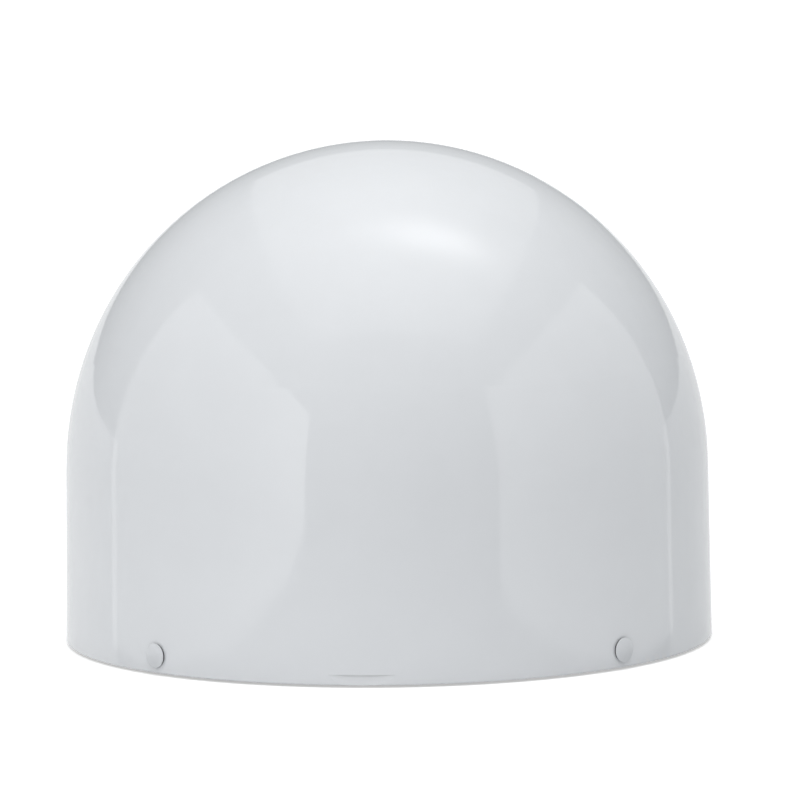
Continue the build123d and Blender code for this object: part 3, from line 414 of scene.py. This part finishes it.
def bare_metal(name, pale, deep, smooth, rough, turn=(0, 0, 0), centre=(0, 0, 0), pitch=None,
               depth=0.000008, lines=420.0, stain=0.15):
    """Bare metal with a tool's marks: lathe rings of a pitch round an axis, or else lines one way."""
    material, tree, shader = shader_of(name)
    shader.inputs["Metallic"].default_value = 1.0
    spot = add(tree, "TexCoord").outputs
    axis = add(tree, "Mapping", vector_type="TEXTURE", Vector=spot["Object"], Location=centre, Rotation=turn)
    if pitch:
        marks = placed(tree, turned_rings, Vector=axis.outputs["Vector"], Pitch=pitch)
    else:
        marks = placed(tree, drawn_lines, Vector=axis.outputs["Vector"], Fineness=lines)
    tone = placed(tree, clouding, Vector=spot["Object"], Scale=60.0, Pale=pale, Deep=deep,
                  Smooth=smooth, Rough=rough)
    dull = calc(tree, "MULTIPLY_ADD", marks["Streak"], 0.10, tone["Roughness"])
    dusted(tree, shader, spot, stain, tone["Color"], dull, (0.36, 0.34, 0.30))
    raised(tree, shader, marks["Height"], depth, 0.7)
    return material


def softened(name, width, material, segments=2, angle=32):
    """A copy of a node with its sharp edges rounded over, which stands in for the node."""
    source = nodes[name]
    mesh = source.data.copy()
    mesh.name = name + "_rounded"
    if "custom_normal" in mesh.attributes:
        mesh.attributes.remove(mesh.attributes["custom_normal"])
    # weld the surface and merge its flat triangles, so that only true edges are rounded
    shape = bmesh.new()
    shape.from_mesh(mesh)
    bmesh.ops.remove_doubles(shape, verts=shape.verts, dist=2e-6)
    bmesh.ops.dissolve_limit(shape, angle_limit=radians(0.6), verts=shape.verts, edges=shape.edges)
    for face in shape.faces:
        face.smooth = True
    shape.to_mesh(mesh)
    shape.free()
    mesh.materials.clear()
    mesh.materials.append(material)
    piece = bpy.data.objects.new(name + "_rounded", mesh)
    scene.collection.objects.link(piece)
    rounding = piece.modifiers.new("rounding", "BEVEL")
    rounding.width = width
    rounding.segments = segments
    rounding.limit_method = "ANGLE"
    rounding.angle_limit = radians(angle)
    rounding.harden_normals = True
    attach(piece, source.parent.name.split(":")[1])
    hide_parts(name)


cap_nylon = moulding(
    "cap_nylon", (0.66, 0.672, 0.69), (0.62, 0.632, 0.65), smooth=0.20, rough=0.28, grain=700.0,
    depth=0.000012, dust=0.03)
softened("cover_screw_caps", 0.00025, cap_nylon, segments=3)
# the cup washers' near-black is partly their rubber and partly painted shade for the gap under each cap's lip
cup_rubber = moulding(
    "cup_rubber", (0.030, 0.031, 0.033), (0.022, 0.022, 0.023), smooth=0.55, rough=0.7, grain=800.0,
    depth=0.00003, dust=0.1)
finish(cup_rubber, "cover_cup_washers")
rolled_stainless = bare_metal(
    "rolled_stainless", (0.63, 0.625, 0.61), (0.55, 0.545, 0.53), smooth=0.22, rough=0.32)
finish(rolled_stainless, "cover_screws", "cover_clip_nuts")

# ---- Rim seal and deck pads ----
# A hollow rubber cord lies in the base's groove and closes the gap inside the cover's rim. Four ribbed
# rubber pads keep the base off the deck and let water run out underneath.
seal_rubber = moulding(
    "seal_rubber", (0.040, 0.041, 0.042), (0.028, 0.028, 0.029), smooth=0.50, rough=0.68, grain=500.0,
    depth=0.00004, dust=0.12)
finish(seal_rubber, "cover_seal")
softened("mounting_pads", 0.0006, seal_rubber, segments=3)

# ---- Base pan ----
# One injection-moulded tray in glass-filled plastic: a floor on ribs, a spigot that the cover slips over,
# four bolt bosses and the notches for the cover's screws. Its edges are rounded as the mould leaves them.
base_nylon = moulding(
    "base_nylon", (0.66, 0.665, 0.66), (0.625, 0.63, 0.625), smooth=0.42, rough=0.55, grain=600.0,
    depth=0.00005, dust=0.12, wear=0.3)
softened("base_pan", 0.0004, base_nylon)

# ---- Connector housing ----
# A black moulded box on the floor over the cable pocket. The aerial jacks and the power socket stand on
# its floor side and the inner leads leave by two holes in its front. Vent plugs in the pan are alike.
black_nylon = moulding(
    "black_nylon", (0.032, 0.033, 0.035), (0.024, 0.024, 0.026), smooth=0.38, rough=0.52, grain=750.0,
    depth=0.00004, dust=0.06, wear=0.6)
softened("connector_housing", 0.0005, black_nylon)
softened("power_socket", 0.0002, black_nylon)
softened("breather_plugs", 0.0003, black_nylon)

# ---- Coax jacks ----
# Aerial jacks turned from brass bar and nickel plated: a rolled thread for the plug's nut, hexagon nuts
# that clamp them in the wall, a white insulator deep in the bore and a gilt spring contact.
thread_radius, thread_pitch, thread_depth = 0.00475, 0.0008, 0.00038
thread_steps, ring_step = 48, 0.0001


def lofted(shape, rings, slot=0, smooth=False):
    """Quads from ring to ring of points, closed at both ends. A ring's points go round anticlockwise."""
    loops = [[shape.verts.new(point) for point in ring] for ring in rings]
    for low, high in zip(loops, loops[1:]):
        for i in range(len(low)):
            j = (i + 1) % len(low)
            face = shape.faces.new((low[i], low[j], high[j], high[i]))
            face.material_index = slot
            face.smooth = smooth
    for loop in (loops[0][::-1], loops[-1]):
        shape.faces.new(loop).material_index = slot


def circle(radius, height, x=0.0, y=0.0, steps=40):
    """A round ring of points."""
    return [Vector((x + radius * cos(2 * pi * i / steps), y + radius * sin(2 * pi * i / steps), height))
            for i in range(steps)]


def threaded(height):
    """A ring that follows one turn of the thread, so that a stack of them winds up the jack."""
    ring = []
    for i in range(thread_steps):
        phase = (height / thread_pitch - i / thread_steps) % 1.0
        turn = 2 * pi * i / thread_steps
        reach = thread_radius - thread_depth * max(0.0, min(1.0, 1.5 - 4.0 * abs(phase - 0.5)))
        ring.append(Vector((reach * cos(turn), reach * sin(turn), height)))
    return ring


def hexagon(corner, height, turned_to):
    """A hexagon ring, with its corners turned down to a radius."""
    ring = []
    for i in range(48):
        turn = 2 * pi * i / 48
        flat = corner * cos(pi / 6) / cos((turn + pi / 6) % (pi / 3) - pi / 6)
        reach = min(flat, turned_to)
        ring.append(Vector((reach * cos(turn), reach * sin(turn), height)))
    return ring


def aerial_jacks(name, node, places, foot, top, bore, bore_top, nuts, corner):
    """Jacks with their open end at the foot; each nut is a pair of heights."""
    shape = bmesh.new()
    for place in places:
        jack = bmesh.new()
        rings = int((top - foot - 0.0004) / ring_step)
        rows = [threaded(foot + 0.0002 + ring_step * i) for i in range(rings)]
        # the barrel: its bore, its open end and its thread
        lofted(jack, [circle(bore - 0.0001, bore_top - 0.0012, steps=thread_steps),
                      circle(bore, foot + 0.0003, steps=thread_steps),
                      circle(bore + 0.0002, foot, steps=thread_steps),
                      circle(thread_radius - 0.0005, foot, steps=thread_steps),
                      *rows,
                      circle(thread_radius - 0.0005, top, steps=thread_steps)], smooth=True)
        # the insulator, then the spring contact that stands in it
        lofted(jack, [circle(bore - 0.0002, bore_top - 0.0014, steps=32),
                      circle(0.0012, bore_top - 0.0014, steps=32),
                      circle(0.0009, bore_top - 0.0024, steps=32)], slot=1)
        lofted(jack, [circle(0.0006, bore_top - 0.0024, steps=16), circle(0.0006, foot + 0.0024, steps=16),
                      circle(0.0003, foot + 0.0021, steps=16)], slot=2, smooth=True)
        for low, high in nuts:
            lofted(jack, [hexagon(corner, low, corner * 0.90), hexagon(corner, low + 0.0003, corner),
                          hexagon(corner, high - 0.0003, corner), hexagon(corner, high, corner * 0.90)])
        jack.transform(place)
        part = bpy.data.meshes.new("jack")
        jack.to_mesh(part)
        jack.free()
        shape.from_mesh(part)
        bpy.data.meshes.remove(part)
    bmesh.ops.recalc_face_normals(shape, faces=shape.faces)
    mesh = bpy.data.meshes.new(name)
    shape.to_mesh(mesh)
    shape.free()
    for material in (nickel_plate, white_insulator, gilt):
        mesh.materials.append(material)
    piece = bpy.data.objects.new(name, mesh)
    scene.collection.objects.link(piece)
    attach(piece, nodes[node].parent.name.split(":")[1])
    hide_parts(node)


nickel_plate = bare_metal(
    "nickel_plate", (0.69, 0.66, 0.57), (0.61, 0.58, 0.50), smooth=0.16, rough=0.26, pitch=0.00025)
white_insulator = moulding(
    "white_insulator", (0.74, 0.74, 0.72), (0.70, 0.70, 0.68), smooth=0.30, rough=0.40, grain=900.0,
    depth=0.00001, dust=0.0)
gilt = bare_metal("gilt", (0.83, 0.62, 0.24), (0.76, 0.54, 0.18), smooth=0.12, rough=0.2, pitch=0.0002)
aerial_jacks("aerial_jacks", "coax_jacks", [Matrix.Translation((x, 0.168, 0)) for x in (-0.020, 0.002)],
             foot=0.021, top=0.038, bore=0.0034, bore_top=0.031,
             nuts=[(0.031, 0.033), (0.036, 0.0385)], corner=0.0066)

# ---- Base leads ----
# Two jacketed leads run from the connector housing to the post, one each side of the middle, held to the
# floor by moulded saddle clips.
lead_jacket = moulding(
    "lead_jacket", (0.040, 0.041, 0.044), (0.028, 0.028, 0.031), smooth=0.36, rough=0.48, grain=1600.0,
    depth=0.00002, dust=0.18)


def laid_lead(name, routes, radius, node):
    """A lead or a pair of leads, smoothly curved along the points that their node is laid on."""
    line = bpy.data.curves.new(name, "CURVE")
    line.dimensions = "3D"
    line.resolution_u = 10
    line.bevel_depth = radius
    line.bevel_resolution = 5
    line.use_fill_caps = True
    for route in routes:
        spline = line.splines.new("NURBS")
        spline.points.add(len(route) - 1)
        for point, place in zip(spline.points, route):
            point.co = (*place, 1.0)
        spline.order_u = 3
        spline.use_endpoint_u = True
    line.materials.append(lead_jacket)
    piece = bpy.data.objects.new(name, line)
    scene.collection.objects.link(piece)
    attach(piece, nodes[node].parent.name.split(":")[1])
    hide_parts(node)


laid_lead("base_lead_pair", [
    [(side * 0.008, 0.1445, 0.020), (side * 0.008, 0.134, 0.020), (side * 0.008, 0.123, 0.013),
     (side * 0.0092, 0.104, 0.0126), (side * 0.0074, 0.084, 0.013), (side * 0.008, 0.066, 0.013),
     (side * 0.008, 0.045, 0.013)]
    for side in (-1, 1)
], 0.0021, "base_leads")
natural_nylon = moulding(
    "natural_nylon", (0.72, 0.715, 0.68), (0.66, 0.65, 0.61), smooth=0.30, rough=0.42, grain=700.0,
    depth=0.00002, dust=0.2, wear=0.2)
softened("lead_clips", 0.0003, natural_nylon)
finish(rolled_stainless, "base_screws")

# ---- Azimuth post and its bearings ----
# A cast alloy post stands on the floor and carries the fixed ring gear and two ball bearings, all turned
# true to one axis. A slotted lock nut closes them up and the slip ring stands inside.

# the open, slightly gritty skin of cast metal
cast_skin, given, result = group_of("cast_skin", [("Vector", "Vector", None), ("Scale", "Float", 300.0)],
                                    [("Height", "Float")])
lumps = add(cast_skin, "TexNoise", Vector=given["Vector"], Scale=given["Scale"], Detail=6.0, Roughness=0.62)
pit_scale = calc(cast_skin, "MULTIPLY", given["Scale"], 1.7)
pits = add(cast_skin, "TexVoronoi", Vector=given["Vector"], Scale=pit_scale)
pit_depth = add(cast_skin, "MapRange", Value=pits.outputs["Distance"], From_Max=0.35)
skin_relief = calc(cast_skin, "MULTIPLY_ADD", pit_depth.outputs["Result"], 0.35, lumps.outputs["Fac"])
cast_skin.links.new(skin_relief, result["Height"])


def casting(name, pale, deep, smooth, rough, depth=0.00007):
    """Cast alloy as it leaves the mould, with brighter rubbed edges and dust on its level faces."""
    material, tree, shader = shader_of(name)
    shader.inputs["Metallic"].default_value = 1.0
    spot = add(tree, "TexCoord").outputs
    tone = placed(tree, clouding, Vector=spot["Object"], Scale=45.0, Pale=pale, Deep=deep,
                  Smooth=smooth, Rough=rough)
    rub = rubbed_edges(tree, spot, 0.7)
    bright = between(tree, rub, tone["Color"], (0.78, 0.78, 0.77))
    worn = calc(tree, "MULTIPLY_ADD", rub, -0.2, tone["Roughness"])
    dusted(tree, shader, spot, 0.3, bright, worn, (0.38, 0.36, 0.33))
    skin = placed(tree, cast_skin, Vector=spot["Object"], Scale=420.0)["Height"]
    raised(tree, shader, skin, depth, 0.8)
    return material


post_casting = casting(
    "post_casting", (0.60, 0.60, 0.605), (0.50, 0.50, 0.505), smooth=0.36, rough=0.50)
softened("azimuth_post", 0.0004, post_casting)
gear_steel = bare_metal(
    "gear_steel", (0.47, 0.47, 0.465), (0.38, 0.375, 0.36), smooth=0.24, rough=0.38, pitch=0.0005)
finish(gear_steel, "azimuth_ring_gear", "bearing_lock_nut")
ground_steel = bare_metal(
    "ground_steel", (0.66, 0.66, 0.665), (0.60, 0.60, 0.605), smooth=0.08, rough=0.16, pitch=0.00012,
    depth=0.000002, stain=0.05)
finish(ground_steel, "azimuth_bearing_inner_races", "azimuth_bearing_outer_races", "azimuth_bearing_balls")
softened("slip_ring_stator", 0.0003, black_nylon)

# ---- Turntable ----
# A cast alloy plate with a hub for the bearings' outer races. It is machined where parts sit on it and
# carries both uprights, the azimuth motor, the control box and the slip ring's arm.
table_casting = casting(
    "table_casting", (0.63, 0.63, 0.64), (0.54, 0.54, 0.55), smooth=0.32, rough=0.46)
softened("turntable", 0.0005, table_casting)
finish(rolled_stainless, "turntable_screws", "motor_screws")
softened("slip_ring_rotor", 0.0003, black_nylon)

# ---- Uprights ----
# Two folded and welded side plates in clear-anodised alloy. Satin etched before anodising, so the rolling
# lines still show faintly, with black end caps over the elevation bearings.
axle_height = 0.18


def anodised(name, pale, deep, turn=(0, 0, 0)):
    """Clear-anodised sheet: satin, with faint rolling lines and worn edges."""
    material, tree, shader = shader_of(name)
    shader.inputs["Metallic"].default_value = 1.0
    spot = add(tree, "TexCoord").outputs
    along = add(tree, "Mapping", vector_type="TEXTURE", Vector=spot["Object"], Rotation=turn)
    marks = placed(tree, drawn_lines, Vector=along.outputs["Vector"], Fineness=650.0)
    tone = placed(tree, clouding, Vector=spot["Object"], Scale=25.0, Pale=pale, Deep=deep,
                  Smooth=0.34, Rough=0.44)
    bright = between(tree, rubbed_edges(tree, spot, 0.5), tone["Color"], (0.80, 0.80, 0.80))
    satin = calc(tree, "MULTIPLY_ADD", marks["Streak"], 0.08, tone["Roughness"])
    dusted(tree, shader, spot, 0.3, bright, satin, (0.40, 0.38, 0.35))
    raised(tree, shader, marks["Height"], 0.00001, 0.5)
    return material


upright_alloy = anodised("upright_alloy", (0.60, 0.61, 0.62), (0.54, 0.55, 0.56), turn=(0, radians(90), 0))
for side in ("left", "right"):
    softened(side + "_upright", 0.0004, upright_alloy)
arm_alloy = anodised("arm_alloy", (0.60, 0.61, 0.62), (0.55, 0.56, 0.57))
softened("slip_ring_arm", 0.0003, arm_alloy)
finish(black_nylon, "elevation_bearing_caps")
side_ground_steel = bare_metal(
    "side_ground_steel", (0.66, 0.66, 0.665), (0.60, 0.60, 0.605), smooth=0.10, rough=0.18,
    turn=(0, radians(90), 0), centre=(0, 0, axle_height), pitch=0.00012, depth=0.000002, stain=0.05)
finish(side_ground_steel, "elevation_bearings")

# ---- Drive motors ----
# Two square stepping motors: a stack of thin laminations between cast end bells lacquered black, a socket
# for the lead on one side, and a pilot that centres each motor in its plate.
motor_side, screw_reach, pilot_radius = 0.0423, 0.0155, 0.0109
bell, layer = 0.008, 0.0005


def cut_square(side, corner, height):
    """A square ring with its corners cut off."""
    h, c = side / 2, side / 2 - corner
    return [Vector((x, y, height)) for x, y in
            ((h, -c), (h, c), (c, h), (-c, h), (-h, c), (-h, -c), (-c, -h), (c, -h))]


def rectangle(x0, x1, z0, z1, y):
    """A ring in an upright plane at y, which goes round anticlockwise seen from +y."""
    return [Vector((x1, y, z0)), Vector((x0, y, z0)), Vector((x0, y, z1)), Vector((x1, y, z1))]


def stepper(name, node, length, place):
    """A stepping motor on its mounting face, pilot below it and socket towards +y, put in its place."""
    shape = bmesh.new()
    stack_end = length - 0.009
    # the two end bells, with their outer edges broken
    for low, high in ((0.0, bell), (stack_end, length - 0.0006)):
        lofted(shape, [cut_square(motor_side - 0.0008, 0.0043, low),
                       cut_square(motor_side, 0.0045, low + 0.0004),
                       cut_square(motor_side, 0.0045, high - 0.0004),
                       cut_square(motor_side - 0.0008, 0.0043, high)])
    # the stack, in which every lamination stands a little proud of the joint above it
    stack = []
    lamination, joint = motor_side - 0.0013, motor_side - 0.0017
    for i in range(int((stack_end - bell) / layer)):
        z = bell + i * layer
        stack += [cut_square(lamination, 0.006, z), cut_square(lamination, 0.006, z + 0.00036),
                  cut_square(joint, 0.006, z + 0.00038), cut_square(joint, 0.006, z + 0.00048)]
    lofted(shape, stack, slot=1)
    # the pilot, the lip round the rear bearing and four screw heads
    lofted(shape, [circle(pilot_radius - 0.0005, -0.0020), circle(pilot_radius, -0.0016),
                   circle(pilot_radius, 0.0)])
    lofted(shape, [circle(0.0085, length - 0.0006), circle(0.0085, length - 0.0003), circle(0.0080, length),
                   circle(0.0052, length), circle(0.0050, length - 0.0005)])
    for x in (-screw_reach, screw_reach):
        for y in (-screw_reach, screw_reach):
            lofted(shape, [circle(0.0027, length - 0.0007, x, y, 24),
                           circle(0.0027, length - 0.0002, x, y, 24),
                           circle(0.0024, length, x, y, 24),
                           circle(0.0013, length, x, y, 24),
                           circle(0.0012, length - 0.0005, x, y, 24)], slot=2)
    # the socket and its six pins
    y0, y1, z0, z1 = motor_side / 2 - 0.0008, motor_side / 2 + 0.005, length - 0.009, length - 0.002
    lofted(shape, [rectangle(-0.007, 0.007, z0, z1, y0), rectangle(-0.007, 0.007, z0, z1, y1),
                   rectangle(-0.0062, 0.0062, z0 + 0.0008, z1 - 0.0008, y1),
                   rectangle(-0.0062, 0.0062, z0 + 0.0008, z1 - 0.0008, y1 - 0.0035)], slot=3)
    for pin in range(6):
        x, z = -0.005 + 0.002 * pin, (z0 + z1) / 2
        lofted(shape, [rectangle(x - 0.00028, x + 0.00028, z - 0.00028, z + 0.00028, y1 - 0.0036),
                       rectangle(x - 0.00028, x + 0.00028, z - 0.00028, z + 0.00028, y1 - 0.0008)], slot=2)
    shape.transform(place)
    mesh = bpy.data.meshes.new(name)
    shape.to_mesh(mesh)
    shape.free()
    for material in (motor_lacquer, lamination_steel, rolled_stainless, socket_nylon):
        mesh.materials.append(material)
    piece = bpy.data.objects.new(name, mesh)
    scene.collection.objects.link(piece)
    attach(piece, "turntable")
    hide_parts(node)


motor_lacquer = moulding(
    "motor_lacquer", (0.035, 0.035, 0.038), (0.026, 0.026, 0.028), smooth=0.28, rough=0.40, grain=380.0,
    depth=0.00005, dust=0.06, wear=0.8)
lamination_steel = bare_metal(
    "lamination_steel", (0.44, 0.44, 0.45), (0.33, 0.33, 0.34), smooth=0.30, rough=0.45, lines=900.0)
socket_nylon = moulding(
    "socket_nylon", (0.70, 0.69, 0.64), (0.64, 0.63, 0.58), smooth=0.32, rough=0.45, grain=900.0,
    depth=0.00001, dust=0.2)
stepper("azimuth_stepper", "azimuth_motor", 0.038, Matrix.Translation((0, 0.072, 0.050)))
lying_left = Matrix(((0, 0, -1, 0), (0, 1, 0, 0), (1, 0, 0, 0), (0, 0, 0, 1)))
stepper("elevation_stepper", "elevation_motor", 0.034, Matrix.Translation((-0.067, 0, 0.120)) @ lying_left)

# ---- Pinions ----
# Three pinions hobbed in free-cutting brass, each pressed on its motor's shaft. They run on the fixed ring
# gear, the toothed sector and the skew gear.
hobbed_brass = bare_metal(
    "hobbed_brass", (0.70, 0.53, 0.25), (0.60, 0.43, 0.18), smooth=0.18, rough=0.30, pitch=0.0004)
finish(hobbed_brass, "azimuth_pinion", "elevation_pinion", "skew_pinion")

# ---- Control box ----
# A die-cast box with a ribbed lid, powder-coated grey, bolted behind the azimuth motor. Two black glands
# let the leads in and a lacquered board with its parts stands on bosses inside.


def powder_coat(name, pale, deep, smooth, rough, wear, dust=0.35):
    """Powder paint over metal: a fine pebbled skin, rubbed through to bright metal along its edges."""
    material, tree, shader = shader_of(name)
    spot = add(tree, "TexCoord").outputs
    tone = placed(tree, clouding, Vector=spot["Object"], Scale=18.0, Pale=pale, Deep=deep,
                  Smooth=smooth, Rough=rough)
    rub = rubbed_edges(tree, spot, wear)
    through = add(tree, "MapRange", Value=rub, From_Min=0.35, From_Max=0.5).outputs["Result"]
    metal_shows = between(tree, through, tone["Color"], (0.62, 0.62, 0.61))
    tree.links.new(through, shader.inputs["Metallic"])
    dusted(tree, shader, spot, dust, metal_shows, tone["Roughness"], (0.42, 0.40, 0.36))
    pebble = add(tree, "TexNoise", Vector=spot["Object"], Scale=900.0, Detail=3.0, Roughness=0.5)
    raised(tree, shader, pebble.outputs["Fac"], 0.00006, 0.7)
    return material


grey_powder = powder_coat(
    "grey_powder", (0.36, 0.37, 0.38), (0.33, 0.34, 0.35), smooth=0.42, rough=0.54, wear=0.15)
softened("control_box", 0.0006, grey_powder)
softened("control_box_lid", 0.0005, grey_powder)
softened("control_box_glands", 0.0003, black_nylon)

# green lacquer over tracks, and black parts wherever the mesh rises above the board
board_top = 0.0562
board_lacquer, tree, shader = shader_of("board_lacquer")
spot = add(tree, "TexCoord").outputs
tone = placed(tree, clouding, Vector=spot["Object"], Scale=60.0, Pale=(0.035, 0.17, 0.085),
              Deep=(0.022, 0.12, 0.060), Smooth=0.22, Rough=0.32)
tracks = add(tree, "TexBrick", Vector=spot["Object"], Scale=110.0, Mortar_Size=0.06, Brick_Width=1.6,
             Row_Height=0.5)
height = add(tree, "SeparateXYZ", Vector=spot["Object"]).outputs["Z"]
parts = calc(tree, "GREATER_THAN", height, board_top)
covered = calc(tree, "MULTIPLY", tracks.outputs["Fac"], 0.6)
track_tone = between(tree, covered, tone["Color"], (0.09, 0.30, 0.15))
tree.links.new(between(tree, parts, track_tone, (0.03, 0.03, 0.032)), shader.inputs["Base Color"])
tree.links.new(tone["Roughness"], shader.inputs["Roughness"])
raised(tree, shader, tracks.outputs["Fac"], 0.00004, 0.6)
finish(board_lacquer, "control_board")

# ---- Turntable leads ----
# One lead from the slip ring's arm to the control box, and one from the box up the right upright and into
# the hollow axle. Both are short and stiff enough to hold their own curve between the two ends.
laid_lead("turntable_lead_pair", [
    [(0.0085, 0.0085, 0.086), (0.019, 0.019, 0.086), (0.028, 0.033, 0.0845), (0.033, 0.048, 0.0805),
     (0.034, 0.066, 0.075), (0.032, 0.088, 0.072), (0.032, 0.106, 0.072)],
    [(0.050, 0.106, 0.072), (0.050, 0.088, 0.072), (0.057, 0.070, 0.077), (0.067, 0.054, 0.091),
     (0.077, 0.038, 0.112), (0.084, 0.025, 0.134), (0.092, 0.013, 0.155), (0.098, 0.003, 0.171),
     (0.092, 0.0, 0.180), (0.0725, 0.0, 0.180)],
], 0.0021, "turntable_leads")

# ---- Reflector ----
# A spun alloy bowl with a rolled rim, powder-coated matt white, screwed to a cast hub ring behind. The
# small second reflector ahead of it is the same and stands on three struts.
dish_powder = powder_coat(
    "dish_powder", (0.70, 0.70, 0.69), (0.68, 0.68, 0.67), smooth=0.48, rough=0.60, wear=0.15,
    dust=0.10)
finish(dish_powder, "reflector", "subreflector")
hub_casting = casting("hub_casting", (0.60, 0.60, 0.61), (0.51, 0.51, 0.52), smooth=0.34, rough=0.48)
softened("reflector_hub", 0.0003, hub_casting)
finish(rolled_stainless, "dish_screws")
softened("subreflector_struts", 0.0003, natural_nylon)

# ---- Ears, axles, weights and toothed sector ----
# Side plates join the hub to hollow steel axles kept by circlips. Steel weights balance the bowl, and the
# left ear carries the quadrant that the elevation pinion drives.
rest_elevation = radians(35)
ear_alloy = anodised("ear_alloy", (0.60, 0.61, 0.62), (0.54, 0.55, 0.56), turn=(rest_elevation, 0, 0))
softened("dish_ears", 0.0003, ear_alloy)
axle_steel = bare_metal(
    "axle_steel", (0.50, 0.50, 0.495), (0.41, 0.405, 0.39), smooth=0.20, rough=0.32,
    turn=(0, radians(90), 0), centre=(0, 0, axle_height), pitch=0.0004)
finish(axle_steel, "elevation_axles", "axle_circlips", "elevation_sector")
weight_steel = casting(
    "weight_steel", (0.42, 0.42, 0.42), (0.33, 0.325, 0.31), smooth=0.38, rough=0.52, depth=0.00003)
softened("balance_weights", 0.0006, weight_steel, segments=3)

# ---- Feed, skew drive and tilt sensor ----
# The feed horn turns in a nylon bush in the hub. A small geared motor turns it by the skew gear, and a
# potted tilt sensor hangs under the hub on its own thin lead.
finish(natural_nylon, "feed_bush", "skew_gear")
softened("skew_motor", 0.0003, motor_lacquer)
softened("tilt_sensor", 0.0005, black_nylon)

# the dish's own frame at rest: across, up the dish, and along the beam from the axles
up_dish = (sin(rest_elevation), cos(rest_elevation))
beam = (-cos(rest_elevation), sin(rest_elevation))
dish_place = Matrix.Translation((0, 0, axle_height)) @ Matrix((
    (1, 0, 0, 0), (0, up_dish[0], beam[0], 0), (0, up_dish[1], beam[1], 0), (0, 0, 0, 1)))
laid_lead("tilt_sensor_lead", [[
    dish_place @ Vector(point) for point in (
        (0.044, 0, 0), (0.036, 0, 0), (0.032, -0.009, 0.003), (0.031, -0.022, 0.007),
        (0.030, -0.034, 0.010), (0.026, -0.040, 0.011), (0.016, -0.040, 0.011))
]], 0.0016, "sensor_lead")
chromated = bare_metal(
    "chromated", (0.68, 0.67, 0.62), (0.60, 0.59, 0.52), smooth=0.20, rough=0.32,
    turn=(radians(90) - rest_elevation, 0, 0), centre=(0, 0, axle_height), pitch=0.0006)
finish(chromated, "feed_horn")
window_film = moulding(
    "window_film", (0.74, 0.74, 0.71), (0.70, 0.70, 0.66), smooth=0.26, rough=0.36, grain=300.0,
    depth=0.00001, dust=0.1)
finish(window_film, "horn_window")

# ---- Receiver ----
# A die-cast finned block behind the horn with two aerial jacks on its back, powder-coated pale grey. It
# turns with the horn and the skew gear as one.
pale_powder = powder_coat(
    "pale_powder", (0.52, 0.53, 0.53), (0.48, 0.49, 0.49), smooth=0.40, rough=0.52, wear=0.2, dust=0.1)
softened("receiver", 0.0003, pale_powder)
aerial_jacks("receiver_aerial_jacks", "receiver_jacks",
             [dish_place @ Matrix.Translation((x, 0, 0)) for x in (-0.009, 0.009)],
             foot=-0.070, top=-0.060, bore=0.0032, bore_top=-0.064, nuts=[(-0.063, -0.060)], corner=0.0064)
